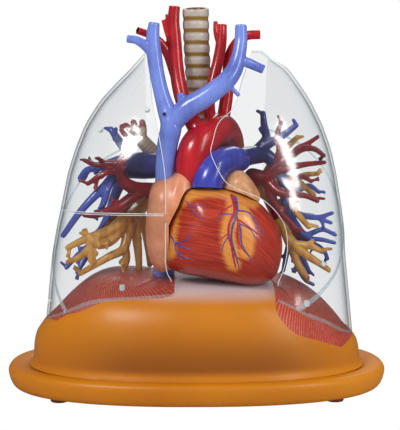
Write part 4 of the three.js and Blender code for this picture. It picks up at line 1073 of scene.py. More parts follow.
def wall_line(lung, angles, level, passes=12):
    """Points in the middle of the wall at plan angles, at heights that level(x, y) gives."""
    z = np.full(len(angles), 150.0)
    for _ in range(passes):
        x, y = lung_plan(lung, angles, z, WALL / 2)
        z = 0.5 * z + 0.5 * np.clip(level(x, y), LUNG_BOTTOM, THREAD_TOP)
    return np.column_stack([x, y, z])


def bead(points):
    """A thread inside the wall that paints in a line: a painted highlight along a polished edge, and a grey
    line along an oblique fissure.
    """
    return tube(np.column_stack([points, np.full(len(points), THREAD_RADIUS)]), 8, 2)


def edge_threads(lung, planes):
    """The threads that belong to one lobe: along its front margin and along its fissures."""
    made = {"bright": [], "soft": []}
    bump = list(DOMES.values())[lung["dome"]]["bump"]
    margin = smooth_flat(lung["margin"], 8)
    x, z = margin[:, 0] + lung["side"] * THREAD_INSET, np.maximum(margin[:, 1], LUNG_BOTTOM)
    y = front_wall_y(lung, x, z) + WALL / 2
    keep = (z < THREAD_TOP) & (y < -8) & (z > hill_height(x, y) + bump + 1)
    for fissure, sign in planes.items():
        keep &= (z > fissure_z(fissure, x, y)) == (sign > 0)
    if keep.sum() > 6:
        made["bright"].append(bead(np.column_stack([x, y, z])[keep]))
    for fissure, sign in planes.items():
        level = lambda x, y: fissure_z(fissure, x, y, 0.75 * sign)
        flat = fissure == "right_horizontal"
        line = wall_line(lung, np.linspace(*((0.05, 1.42) if flat else (0.55, 1.5)), 60), level)
        x, y, z = line.T
        good = (z > hill_height(x, y) + bump + 1.5) & (np.abs(z - level(x, y)) < 0.3)
        good &= (x - np.interp(z, margin[:, 1], margin[:, 0])) * lung["side"] > 1.5
        for other in planes.keys() - {fissure}:
            good &= (z - fissure_z(other, x, y)) * planes[other] > 1.2
        if good.sum() > 5:
            made["bright" if flat else "soft"].append(bead(line[good]))
    return made


shells = {name: lung_shell(name, lung) for name, lung in LUNGS.items()}
for name, (side, planes) in LOBES.items():
    lobe = show(name + "_shell", shells[side].data.copy())
    lobe.data.name = lobe.name
    carve(lobe, [half_space(*plane) for plane in planes.items()], "INTERSECT", slot=1)
    for plug in PLUGS.values():
        if plug[0] == name:
            at, out = plug_line(*plug)
            carve(lobe, [rod(at, out, 6, PLUG_RADIUS + GAP)], slot=1)
    dress(crisp(lobe, 32), name, "clear_plastic", name)
    for kind, threads in edge_threads(LUNGS[side], planes).items():
        if threads:
            thread = make_piece(f"{name}_{kind}_edge", together(threads), edges[kind])
            dress(thread, name, "clear_plastic")
for shell in shells.values():
    bpy.data.objects.remove(shell)

for name, plug in PLUGS.items():
    head, foot = PLUG_PROUD, -WALL - PLUG_PROUD
    pin = turned([
        (1.1, foot), (1.7, foot + 0.2), (2.0, foot + 0.6), (2.0, head - 0.5), (1.8, head - 0.15),
        (1.4, head), (0.9, head - 0.05), (0.7, head - 0.4), (0.3, head - 0.45),
    ], *plug_line(*plug))
    dress(make_piece(name + "_pin", pin, plug_plastic), plug[0], "clear_plastic", name)

for name, (x, y) in STUDS.items():
    dome = DOMES[name]
    share = math.hypot(x / dome["half_width"], y / dome["half_depth"])
    surface = hill_height(dome["x"] + x, float(y)) + dome["bump"] * max(1 - share**2, 0)
    r, h = STUD_RADIUS, STUD_HEIGHT
    stud = turned([
        (r, -1.2), (r, h - 1.6), (r * 0.86, h - 1.2), (r * 0.86, h - 0.9), (r, h - 0.6),
        (r * 0.8, h - 0.15), (r * 0.4, h),
    ], (dome["x"] + x, y, surface))
    pin = carve(make_piece(name + "_snap_stud", stud, plug_plastic), [dome_form(dome, GAP / 2)])
    dress(crisp(pin, 40), "stand", "clear_plastic", name + "_stud")

# %% [markdown]
# ## The heart
#
# The two ventricles are one pillow, split at y = -50: the front wall pulls forward off two pegs
# and shows the chambers. The front surface follows y = middle - half * (1 - s^p)^(1/p), where s is
# the share of the way from the centre to the outline, so the coronary vessels can be laid on it
# exactly. Their paths are the [x, z] points listed below.

# %% Heart sizes
SPLIT_Y, WALL_LEFT = -50.0, -24.5
VENTRICLES = {
    "front": -86.0, "back": -8.0, "power": 2.4,
    "outline": [
        (-9, 187), (8, 190), (23, 188), (37, 184.5), (54, 176), (64, 166), (72, 154), (75.5, 140),
        (74, 123), (69, 110), (57, 103), (46, 102), (27, 105), (2, 110), (-17, 114), (-27, 121),
        (-29, 135), (-26, 153), (-17, 172),
    ],
}
RIGHT_ATRIUM = {
    "front": -68.0, "back": -10.0, "power": 2.4,
    "outline": [
        (-4, 201), (-13, 206), (-24, 199), (-36, 195), (-41, 188), (-44, 172), (-46, 154),
        (-45, 136), (-41, 121), (-34, 113), (-22, 116), (-14, 135), (-10, 155), (-2, 175),
    ],
}
LEFT_AURICLE = {
    "front": -62.0, "back": -26.0, "power": 2.2,
    "outline": [
        (22, 188), (25, 198), (33, 204), (41, 203), (47, 197), (52, 190), (56, 182), (54, 175),
        (44, 174), (32, 180),
    ],
}
# Ellipsoids, as centre and radii
LEFT_ATRIUM = (16, -1, 174), (36, 20, 21)
CAVITIES = {"right": ((-2, -50, 150), (15, 20, 26)), "left": ((42, -47, 145), (16, 18, 27))}
PEG_RADIUS, PEG_REACH = 2.2, 6.0
PEGS = {"lower_wall_peg": (20, 118), "upper_wall_peg": (20, 177)}
VALVE_HALF, VALVE_RIM = 1.2, 2.6
VALVES = {  # centre, direction, radius, leaflets, and how far they sag
    "tricuspid_valve": ((-12, -38, 158), (0.94, 0.34, 0), 8.5, 3, 6.0),
    "mitral_valve": ((40, -31.5, 152), (0, 1, 0), 9.0, 2, -7.0),
    "aortic_valve": ((41, -42, 170), (0, 0, 1), 7.0, 3, -4.0),
    "pulmonary_valve": ((8, -55, 192.4), (0, 0, 1), 8.0, 3, -1.2),
}
PAPILLARY = {
    "right": [(0, -36, 122, 4.5), (-1, -40, 134, 3.6), (-4, -42, 145, 2)],
    "left": [(45, -36, 118, 4.5), (44, -38, 130, 3.8), (42, -39, 140, 2)],
}
CORDS = {  # tendinous cords from each papillary muscle to its valve's flaps, as start and end
    "right": [
        ((-4, -42, 144.5), (-9, -38.5, 152.5)), ((-4, -42, 144.5), (-9, -42, 155)),
        ((-3.4, -41.4, 143.5), (-8.6, -36.5, 156.5)),
    ],
    "left": [
        ((42, -39, 139.5), (37, -36.4, 147.5)), ((42, -39, 139.5), (42.5, -36.8, 147)),
        ((42.4, -38.4, 138.5), (45, -36.2, 149.5)),
    ],
}
CORONARIES = {  # on the front wall, as [x, z, radius]
    "artery": [
        [(30, 183, 1.5), (31.5, 177, 1.5), (32, 170, 1.3), (27.5, 161, 1.1), (26.5, 151, 1.0),
         (29, 141, 0.9), (31, 130, 0.8), (33, 122, 0.6)],
        [(34, 164, 0.8), (40, 160, 0.7), (46, 155.5, 0.7), (57, 147, 0.4)],
        [(32, 172, 0.8), (35, 160, 0.9), (34, 150, 0.8), (37, 141, 0.6), (44, 132, 0.4)],
        [(29, 175, 0.8), (22, 171, 0.6), (18, 166, 0.5), (16, 160, 0.3)],
        [(26.5, 152, 0.7), (21, 148, 0.5), (17.5, 145, 0.3)],
        [(-20, 170, 0.9), (-21, 160, 0.8), (-21.6, 152, 0.6)],
        [(31, 134, 0.5), (38, 127, 0.5), (42, 121, 0.3)],
    ],
    "vein": [
        [(33, 182, 1.2), (34, 175, 1.2), (33, 166, 1.1), (30, 158, 1.0), (29, 148, 0.9), (31, 139, 0.8),
         (33.5, 130, 0.7), (36, 121, 0.4)],
        [(34, 171, 0.8), (44, 169, 0.8), (50.5, 160, 0.7), (56, 150, 0.4)],
        [(33.5, 166, 0.8), (37, 155, 0.8), (38, 143, 0.7), (45, 131, 0.5), (48, 126, 0.3)],
        [(36, 160, 0.6), (44, 156, 0.5), (50, 148, 0.3)],
        [(30, 168, 0.6), (21, 168, 0.5), (17, 162, 0.3)],
        [(27, 150, 0.6), (22.5, 143, 0.5), (20.5, 135, 0.3)],
        [(-25, 151, 0.7), (-20, 143, 0.9), (-17.5, 134, 0.7), (-13.5, 128, 0.4)],
        [(-19.5, 142, 0.7), (-10, 145.5, 0.6), (-5.5, 152, 0.3)],
        [(-19, 141, 0.7), (-11, 139, 0.6), (-3.5, 137, 0.3)],
        [(-17.5, 134, 0.6), (-11, 131, 0.5), (-4, 129.5, 0.3)],
        [(-10, 178.5, 0.6), (-6, 174, 0.6), (-1, 168, 0.5), (5, 163, 0.3)],
        [(-6, 174, 0.5), (2, 175.5, 0.3)],
    ],
}
FAT_LINES = [  # where fat gathers on the heart: lines of [x, z], each with its reach
    ([(31, 182), (32, 170), (27, 158), (26, 148), (28, 138), (31, 126)], 7),
    ([(-16, 178), (-4, 186), (8, 188), (24, 187), (38, 183), (50, 178)], 6),
    ([(-20, 178), (-23, 166), (-25, 150), (-26, 134)], 7.5),
    ([(38, 172), (42, 160), (43, 148), (42, 136)], 6.5),
]
HEART_CENTRE = closed_curve(VENTRICLES["outline"], 26).mean(0)
HEART_SPOKES = closed_curve(VENTRICLES["outline"], 240) - HEART_CENTRE


def heart_front(x, z):
    """y of the ventricles' front surface, from a point's share of the way out to the outline."""
    turn = np.arctan2(HEART_SPOKES[:, 1], HEART_SPOKES[:, 0])
    order = np.argsort(turn)
    across, up = x - HEART_CENTRE[0], z - HEART_CENTRE[1]
    reach = np.interp(
        np.arctan2(up, across), turn[order], np.hypot(*HEART_SPOKES[order].T), period=2 * math.pi,
    )
    share = np.clip(np.hypot(across, up) / reach, 0, 0.999)
    front, back, power = VENTRICLES["front"], VENTRICLES["back"], VENTRICLES["power"]
    return (front + back) / 2 - (back - front) / 2 * (1 - share**power) ** (1 / power)


def fat_share(points):
    """exp(-(distance / reach)^2) from the nearest fat line, over the front half of the heart."""
    x, y, z = points.T
    share = 0 * x
    for line, reach in FAT_LINES:
        path = smooth_flat(line, 8)
        away = np.hypot(x[:, None] - path[:, 0], z[:, None] - path[:, 1]).min(1)
        share = np.maximum(share, np.exp(-(away / reach) ** 2))
    return share * ease(-y, 20, 45)


def grain(points):
    """Where a point lies across and along the fibres, in metres. The fibres are the curves
    z = c - (10 u + 40 u^4) with u = (x + 27) / 100: nearly level over the right ventricle, and
    falling ever more steeply towards the left border."""
    x, _, z = points.T
    u = np.clip((x + 27) / 100, 0, 1.1)
    return (z + 10 * u + 40 * u**4) * MM, x * MM


print(f"the heart's front lies at y = {heart_front(40.0, 150.0):.1f} mm over the left chamber")


# %% [markdown]
# ## Paint for the heart
#
# The heart is cast and then painted by hand: two reds streaked along the fibres of the muscle, and
# yellow fat dabbed along the grooves in which the vessels run. Fibres are noise drawn out along a
# curve. Two numbers on the mesh, across and along the fibres, bend the noise with the muscle, which
# a plain mapping can't do, and a third says how near the fat is.

# %% Heart finishes
def muscle_material(name, light, dark, with_fat=False):
    """Brushed muscle: fibres are noise drawn out along the grain."""
    material, tree = new_material(name, Roughness=0.3, Coat_Weight=0.5, Coat_Roughness=0.16)
    brush = stretched(tree, (30, 30, 900), (0, 0.30, 0))
    if with_fat:
        brush = add(tree, "CombineXYZ", inputs={
            "X": times(tree, held(tree, "across"), 900.0), "Y": times(tree, held(tree, "along"), 40.0),
        }).outputs[0]
    height = fibre = noise(tree, 1, 4, 0.35, brush)
    coat = mix(tree, ramp(tree, fibre, (0.36, 0.0), (0.64, 1.0)), dark, light)
    coat = mix(tree, ramp(tree, noise(tree, 30, 2), (0.35, 0.0), (0.75, 0.5)), coat, (158, 34, 24))
    if with_fat:
        # Darker towards the bottom of the heart, below 142 mm.
        low = step(tree, axis(tree, "Z"), 0.142, 0.106)
        coat = mix(tree, times(tree, low, 0.6), coat, (122, 26, 20))
        brushed = plus(tree, times(tree, noise(tree, 150, 2), 0.25), times(tree, fibre, 0.45))
        fat = ramp(tree, plus(tree, held(tree, "fat"), brushed), (0.55, 0.0), (1.2, 0.92))
        coat = mix(tree, fat, coat, ramp(tree, fibre, (0.35, (206, 124, 44)), (0.65, (222, 152, 66))))
        height = plus(tree, fibre, times(tree, fat, 0.5))
    return coated(material, coat, height, 0.0004)


def satin_material(name, light, dark, lump_scale, lump_height, roughness=0.38):
    """Painted plastic: two close colours over soft lumps, and a fine brushed skin."""
    material, tree = new_material(name, Roughness=roughness, Coat_Weight=0.4, Coat_Roughness=0.2)
    lumps = noise(tree, lump_scale, 2)
    height = plus(tree, lumps, times(tree, noise(tree, 1100, 2), 0.12))
    return coated(material, ramp(tree, lumps, (0.3, dark), (0.7, light)), height, lump_height, 0.7)


muscle = muscle_material("brushed_muscle", (192, 60, 28), (136, 24, 14), True)
cut_muscle = satin_material("cut_muscle_face", (206, 96, 74), (190, 78, 58), 60, 0.0002)
chamber = muscle_material("chamber_lining", (206, 104, 88), (170, 62, 56))
papillary_coat = muscle_material("papillary_muscle", (204, 86, 66), (160, 48, 42))
peach = satin_material("painted_atrium", (226, 150, 110), (206, 124, 84), 95, 0.0011)
auricle_coat = satin_material("painted_auricle", (240, 178, 124), (216, 140, 88), 110, 0.005)
ivory = satin_material("ivory_plastic", (238, 224, 192), (224, 206, 170), 120, 0.0002, 0.35)
coronary_coats = {
    "artery": satin_material("coronary_artery", (186, 32, 46), (146, 18, 32), 300, 0.0002, 0.3),
    "vein": satin_material("coronary_vein", (92, 80, 150), (64, 52, 116), 300, 0.0002, 0.3),
}
print("finishes so far:", len(bpy.data.materials))


# %% [markdown]
# ## Valves, and room for the wall
#
# With the front wall off, four ivory valves show in their seats, and cords tie two of them to the
# papillary muscles. A valve is a rounded ring with two or three flaps, and one loop of points swept
# round the ring makes a flap. What stands near the front wall is cut by the space that the wall
# needs on its way out, so that it comes off without touching its neighbours.

# %% Heart forms
def wall_space(grow):
    """What the front wall needs to slide out: its outline, grown, carried forward."""
    outline = HEART_CENTRE + HEART_SPOKES + grow * unit(HEART_SPOKES)
    middle = outline.mean(0)
    low, high = -FAR, SPLIT_Y + grow
    rings = [[(x, y, z) for x, z in outline] for y in (low, high)]
    space = make_piece("wall_space", rings_form(rings, [(middle[0], y, middle[1]) for y in (low, high)]))
    return carve(space, [block((WALL_LEFT - grow, -2 * FAR, 0), (FAR, FAR, FAR))], "INTERSECT")


def leaflet(centre, way, radius, start, span, sag, rows=14):
    """A thin flap from a valve's ring towards its middle: at each angle a loop of points runs
    in along the top and back along the underside, 0.5 mm below."""
    side = unit(np.cross(way, (0.2, 0.9, 0.4)))
    share = np.linspace(0, 1, rows)[:, None]
    angle = start + span * (0.02 + 0.96 * share)
    spoke = np.cos(angle) * side + np.sin(angle) * np.cross(way, side)
    full = np.sin(share * math.pi) ** 0.7
    inward = [(1.0, 0.0), (0.72, 0.35), (0.42, 0.75), (0.1 + 0.12 * (1 - full), 1.0)]
    top = [centre + spoke * radius * r + way * sag * d * (0.35 + 0.65 * full) for r, d in inward]
    rings = np.stack(top + [points + way * 0.5 for points in reversed(top)], 1)
    return rings_form(rings, (rings[0].mean(0), rings[-1].mean(0)))


def valve_form(centre, way, radius, flaps, sag):
    """A rounded ring with its flaps."""
    half, inner, turn = VALVE_HALF, radius - VALVE_RIM, 2 * math.pi / flaps
    ring = turned([
        (inner, -half * 0.5), (inner + 0.5, -half), (radius - 0.6, -half), (radius, -half * 0.55),
        (radius, half * 0.55), (radius - 0.6, half), (inner + 0.5, half), (inner, half * 0.5),
    ], centre, way, 48, loop=True)
    return together([ring] + [
        leaflet(np.array(centre), unit(way), inner + 0.2, k * turn, turn, sag) for k in range(flaps)
    ])


# %% [markdown]
# ## Two halves from one pillow
#
# Both halves start as the same pillow and are cut with the same chambers, so they meet exactly. The
# cutters are cut one after another, and the faces that each leaves take a finish of their own: pink
# lining in the chambers, and plain satin paint on the flat cut face, as a painter would do it.

# %% Ventricles, valves and papillary muscles
peg_holes = [rod((x, SPLIT_Y, z), (0, 1, 0), PEG_REACH + GAP, PEG_RADIUS + GAP) for x, z in PEGS.values()]
seats = {
    name: rod(centre, way, VALVE_HALF + GAP, radius + GAP)
    for name, (centre, way, radius, _, _) in VALVES.items()
}
front_seat = [seats.pop("pulmonary_valve")]


def heart_half(name, how, cut, left, seated, body, node):
    """One half of the ventricles, its cut face and its chambers in materials of their own."""
    half = make_piece(name, organ(VENTRICLES, 110, 240), muscle, cut_muscle, chamber)
    carve(half, ground[:1])
    carve(half, [ellipsoid(*cavity) for cavity in CAVITIES.values()], slot=2)
    carve(half, [block((left, -FAR, 0), (FAR, cut, FAR))], how, slot=1)
    carve(half, peg_holes, slot=1)
    crisp(main_body(carve(half, seated, slot=1)), 38)
    place = read_points(half)
    across, along = grain(place)
    store(half, fat=fat_share(place), across=across, along=along)
    dress(half, body, "heart_muscle", node)


heart_half(
    "heart_back_half", "DIFFERENCE", SPLIT_Y + GAP / 2, WALL_LEFT - GAP, seats.values(), "stand",
    "heart_back",
)
heart_half(
    "heart_front_face", "INTERSECT", SPLIT_Y - GAP / 2, WALL_LEFT, front_seat, "heart_front_wall",
    "heart_front_wall",
)
for name, valve in VALVES.items():
    dress(make_piece(name + "_ring", valve_form(*valve), ivory), "stand", "pale_plastic", name)

for name, (x, z) in PEGS.items():
    r, end = PEG_RADIUS, PEG_REACH
    rows = [(1.5, end), (2.0, end - 0.3), (r, end - 0.9)]
    profile = [(radius, -reach) for radius, reach in rows] + rows[::-1]
    pin = make_piece(name + "_pin", turned(profile, (x, SPLIT_Y, z), (0, 1, 0)), ivory)
    dress(crisp(pin, 40), "stand", "pale_plastic", name)

for side, path in PAPILLARY.items():
    name = side + "_papillary_muscle"
    pillar = make_piece(name + "_pillar", tube(path, 28, 10, FLAT), papillary_coat)
    carve(pillar, [block((-FAR, SPLIT_Y + GAP, 0), (FAR, FAR, FAR))], "INTERSECT")
    carve(pillar, [ellipsoid(*CAVITIES[side], inset=GAP)], "INTERSECT")
    dress(main_body(pillar), "stand", "heart_muscle", name)

for side, pairs in CORDS.items():
    strands = []
    for start, end in pairs:
        middle = np.add(start, end) / 2 + (0.3, 0.0, -0.4)
        strands.append(tube([(*start, 0.42), (*middle, 0.34), (*end, 0.4)], 8, 6))
    dress(make_piece(side + "_cords", together(strands), ivory), "stand", "pale_plastic")

# %% [markdown]
# ## Coronary vessels
#
# Thin red and blue cords lie on the wall, half sunk into the paint. Drawing them in the material
# would leave them flat. Here they are tubes, laid on the surface by the formula of the pillow.

# %% Coronary vessels on the front wall
for kind, slot in (("artery", "artery_red"), ("vein", "vein_blue")):
    runs = []
    for line in CORONARIES[kind]:
        x, _, z, radius = smooth_path([(x, 0, z, r) for x, z, r in line], 7).T
        y = heart_front(x, z) + 0.25 * radius
        keep = (y < SPLIT_Y - 1.5) & (x > WALL_LEFT + 1.6)
        runs.append(tube(np.column_stack([x, y, z, radius])[keep], 14, 2))
    laid = make_piece(f"coronary_{kind}_branches", together(runs), coronary_coats[kind])
    dress(laid, "heart_front_wall", slot)

# %% [markdown]
# ## Great vessels and windpipe
#
# Each vessel is one or more tubes melted into one skin, then cut back by its neighbours grown by
# 0.3 mm, as in the construction, so that they touch without running into each other. Cut ends are
# open: a thin rim, and a lumen painted dark as painted shade, from a number on the mesh.

# %% Vessel paths, as [x, y, z, radius]
AORTA = [
    (-2, -42, 178, 13), (-5, -44, 204, 14.6), (-1, -42, 223, 15.2), (10, -32, 235, 15),
    (21, -14, 240, 14.4), (29, 5, 233, 13.2), (33, 24, 218, 12), (31, 34, 195, 11.2), (28, 39, 166, 10.6),
    (25, 42, 128, 10.1), (22, 44, 96, 9.7),
]
PULMONARY_TRUNK = [
    (7, -54, 180, 14.4), (10, -54, 196, 13.8), (18, -48, 208, 13.2), (29, -35, 213, 12.5),
    (38, -20, 212, 11),
]
VENA_CAVA = [
    (-29, -38, 180, 8.5), (-28, -42, 209, 8.9), (-26, -43, 228, 9.3), (-23, -43, 244, 9.5),
    (-27, -40, 257, 8.2), (-31, -38, 270, 7), (-35, -36, 287, 6.6), (-38, -34, 308, 6.7),
    (-39, -33, 323, 5.9), (-38, -33, 333, 5),
]
RIGHT_SUBCLAVIAN_VEIN = [
    (-38, -34, 306, 4.6), (-47, -34, 315, 4.4), (-54, -34, 319, 3.8), (-61, -34, 320, 3.6),
]
LEFT_NECK_VEIN = [
    (-23, -43, 244, 8.8), (-10, -44, 258, 9.7), (3, -45, 266, 9.3), (15, -45, 274, 8.8),
    (26, -43, 283, 8.2), (33, -40, 293, 7.6), (37, -37, 306, 6.4), (39, -34, 319, 5.8),
    (39, -33, 331, 5.3),
]
LEFT_SUBCLAVIAN_VEIN = [(38, -38, 301, 4.6), (45, -37, 299, 4.5), (52, -36, 296, 4.3), (59, -36, 293, 4)]
LEFT_VEIN_STUB = [(29, -43, 278, 2.4), (33, -43, 274, 2), (36.2, -43, 270.8, 1.9)]
THYMIC_VEIN = [(-12, -44, 259, 3.7), (-14, -44, 267, 3.5), (-14, -44, 272, 3.4)]
RIGHT_CAROTID = [
    (1, -38, 238, 7.8), (-8, -30, 255, 7.4), (-14, -24, 271, 7), (-18, -18, 293, 6.6), (-20, -14, 323, 6),
    (-21, -13, 336, 5.5), (-20, -13, 350, 5),
]
RIGHT_CAROTID_TWIN = [
    (-21.5, -16, 296, 3), (-24, -13.5, 315, 3.1), (-25.6, -13, 330, 2.7), (-26, -13, 343, 2.3),
]
RIGHT_SUBCLAVIAN = [
    (-19, -18, 287, 4.8), (-27, -14, 309, 4.4), (-35, -15, 320, 3.9), (-44, -19, 325, 3.5),
    (-53, -24, 328, 3.3),
]
RIGHT_VERTEBRAL = [(-22, -14, 313, 2), (-27, -13, 326, 2), (-30, -12, 338, 2)]
LEFT_CAROTID = [
    (13, -28, 242, 6), (11, -20, 262, 5.4), (15, -15, 284, 5.2), (19, -12, 300, 5.1), (22, -10, 316, 5),
    (23, -8, 334, 4.4),
]
LEFT_VERTEBRAL = [(20, -10, 315, 2), (17, -10, 327, 2), (17, -9, 337, 2)]
LEFT_SUBCLAVIAN = [
    (23, -6, 242, 6), (27, -2, 266, 6), (29, 0, 286, 5.6), (30, -2, 304, 5.2), (36, -8, 317, 4.8),
    (45, -12, 324, 4.4), (57, -14, 325, 4.2),
]
INFERIOR_CAVA = [(-27, -30, 128, 9.5), (-30, -22, 112, 10), (-31, -18, 96, 10)]
CAVA_HOLE = [(-28.5, -50, 253.5, 1.9), (-29, -51.6, 253.5, 1.9)]
WINDPIPE = [(-1, -6, 349), (0, 0, 316), (2, 6, 284), (4, 12, 252), (6, 18, 219)]
RING_PITCH, RING_VALLEY, RING_RELIEF, RING_SWELL = 10.8, 3.6, 0.42, 0.25
PIPE_RADIUS, PIPE_STEP, PIPE_LOWERED, LUMEN_ABOVE = 12.0, 0.36, 0.8, 330


def lumens(points, ends):
    """1 inside the open ends of tubes, where the material paints shade into the bore. Each end is given
    by two path points, the last one the end: within 0.8 of the radius, from 1.1 radii inside the end
    to 0.2 outside it."""
    dark = np.zeros(len(points))
    for before, end in ends:
        out, radius = unit(np.subtract(end[:3], before[:3])), end[3]
        away = points - end[:3]
        along = away @ out
        aside = np.linalg.norm(away - along[:, None] * out, axis=1)
        dark[(aside < 0.80 * radius) & (along > -1.1 * radius) & (along < 0.2 * radius)] = 1
    return dark


# %% [markdown]
# ## Paint for the vessels
#
# Vessels are painted in gloss: red for fresh blood, blue for used blood. The brush follows the
# vessel, so its noise is stretched upwards, and a broader cloud keeps it from looking combed. The
# windpipe has its own paint, cream on the rings and olive between them, which reads how far up a
# ring a point lies from a number on the mesh.

# %% Vessel finishes
def vessel_material(name, light, dark, roughness=0.27, over=lambda tree, coat: coat):
    """Glossy paint over a casting: brushed along the vessel, with painted shade in the lumen at open
    ends, and with what lies over it."""
    material, tree = new_material(name, Roughness=roughness, Coat_Weight=0.55, Coat_Roughness=0.14)
    brush = noise(tree, 1, 3, 0.3, stretched(tree, (260, 260, 26)))
    level = plus(tree, times(tree, brush, 0.25), times(tree, noise(tree, 36, 2), 0.75))
    # Painted shade: dark red-brown in the lumen of an open end.
    coat = mix(tree, held(tree, "lumen"), ramp(tree, level, (0.38, dark), (0.62, light)), (52, 12, 18))
    return coated(material, over(tree, coat), level, 0.00035)


def windpipe_material():
    """Cream cartilage rings with olive valleys between them. The red-brown sides and the browner valleys
    there are painted shade, with a reddish painted reflection.
    """
    material, tree = new_material("windpipe_rings", Roughness=0.34, Coat_Weight=0.35, Coat_Roughness=0.2)
    mottle = noise(tree, 120, 3)
    cream = mix(tree, mottle, (206, 194, 180), (164, 150, 144))
    # Painted shade with a reddish painted reflection: red-brown where the pipe turns away from the front.
    side = mix(tree, mottle, (136, 78, 52), (104, 52, 38))
    front = ramp(tree, held(tree, "front"), (0.52, 0.0), (0.76, 1.0))
    valley = mix(tree, front, (116, 66, 40), (146, 112, 44))
    ring = ramp(tree, held(tree, "ring"), (0.2, 0.0), (0.95, 1.0))
    coat = mix(tree, ring, valley, mix(tree, front, side, cream))
    # Painted shade in the open bore at the top.
    coat = mix(tree, held(tree, "lumen"), coat, (120, 70, 50))
    return coated(material, coat, plus(tree, mottle, noise(tree, 900, 2)), 0.0002)


artery_red = vessel_material("artery_paint", (198, 26, 32), (160, 14, 24))
vein_blue = vessel_material("vein_paint", (116, 136, 212), (88, 104, 184))
trunk_blue = vessel_material("trunk_paint", (68, 76, 184), (44, 48, 138))
windpipe = windpipe_material()
print("finishes so far:", len(bpy.data.materials))

# %% [markdown]
# ## From tubes to vessels
#
# Tubes that merely overlap show a hard line at each fork. Remeshing them into one skin and
# smoothing it a few times gives the soft webs of a casting. The smaller the vessels, the finer the
# voxels have to be, and the cutters come last, so that their edges stay crisp.

# %% Vessels
heart_whole = make_piece("heart_whole", organ(VENTRICLES, grow=GAP))
slide_space = wall_space(GAP + 0.2)


def vessel(name, runs, coat, slot, cutters=(), node=(), ends=(), voxel=0.6, rounds=5):
    """Tubes melted into one skin, cut back by neighbours, with the lumens marked for painted shade."""
    piece = melt(make_piece(name, together(runs), coat), voxel, rounds)
    if cutters:
        crisp(carve(piece, cutters), 50)
    main_body(piece)
    store(piece, lumen=lumens(read_points(piece), ends))
    dress(piece, "stand", slot, *node)


def red_vessel(name, runs, node, ends=()):
    """An artery off the arch, which nothing cuts back."""
    vessel(name, runs, artery_red, "artery_red", node=[node], ends=ends, voxel=0.5)


valve_bore = rod((8, -55, 183), (0, 0, 1), 12, VALVES["pulmonary_valve"][2] + GAP)
vessel(
    "pulmonary_trunk_skin", [tube(PULMONARY_TRUNK, 40, 10, FLAT)], trunk_blue, "deep_blue",
    [heart_whole, slide_space, valve_bore], ["pulmonary_trunk"],
)
vessel(
    "aorta_skin", [tube(AORTA, 44, 10, FLAT, FLAT)], artery_red, "artery_red",
    [heart_whole, slide_space, ground[0]], ["aorta"], voxel=0.7,
)
vessel("superior_vena_cava_skin", [
    tube(VENA_CAVA, 36, 10, FLAT, SQUARE), tube(RIGHT_SUBCLAVIAN_VEIN, end=SQUARE),
    tube(CAVA_HOLE, 16, 4, end=OPEN),
], vein_blue, "vein_blue", [heart_whole], ["superior_vena_cava"], [CAVA_HOLE])
vessel("left_neck_vein_skin", [
    tube(LEFT_NECK_VEIN, 36, 10, SQUARE, SQUARE), tube(LEFT_SUBCLAVIAN_VEIN, end=FLAT),
    tube(LEFT_VEIN_STUB, 16, 6), tube(THYMIC_VEIN, 22, end=FLAT),
], vein_blue, "vein_blue", node=["left_neck_vein"])
red_vessel("right_carotid_skin", [
    tube(RIGHT_CAROTID, 32, 10, FLAT, FLAT), tube(RIGHT_CAROTID_TWIN, 20, end=FLAT),
    tube(RIGHT_SUBCLAVIAN, end=OPEN), tube(RIGHT_VERTEBRAL, 14, end=FLAT),
], "right_carotid_artery", [RIGHT_SUBCLAVIAN[-2:]])
red_vessel("left_carotid_skin", [
    tube(LEFT_CAROTID, 28, 10, FLAT, FLAT), tube(LEFT_VERTEBRAL, 14, end=FLAT),
], "left_carotid_artery")
red_vessel("left_subclavian_skin", [
    tube(LEFT_SUBCLAVIAN, 28, 10, FLAT, OPEN),
], "left_subclavian_artery", [LEFT_SUBCLAVIAN[-2:]])
vessel(
    "inferior_vena_cava_skin", [tube(INFERIOR_CAVA, 32, 8, FLAT, FLAT)], vein_blue, "vein_blue",
    [heart_whole, *ground], ["inferior_vena_cava"],
)

# %% Atria
for name, form, coat, cutters in (
    ("right_atrium", organ(RIGHT_ATRIUM, 70), peach, [heart_whole, slide_space, ground[0]]),
    ("left_auricle", organ(LEFT_AURICLE, around=120), auricle_coat, [heart_whole, slide_space]),
    ("left_atrium", ellipsoid(*LEFT_ATRIUM, 60, 90), peach, [heart_whole]),
):
    piece = carve(make_piece(name + "_skin", form, coat), cutters)
    dress(crisp(main_body(piece), 50), "stand", "atrium_peach", name)


# %% [markdown]
# ## The windpipe
#
# Rings of cartilage hold a windpipe open, and on the model they are broad bands with narrow valleys
# between them. A torus for each ring would do, but one tube whose radius swells over each ring and
# dips into each valley has no seams, and its top turns inwards to an open bore.

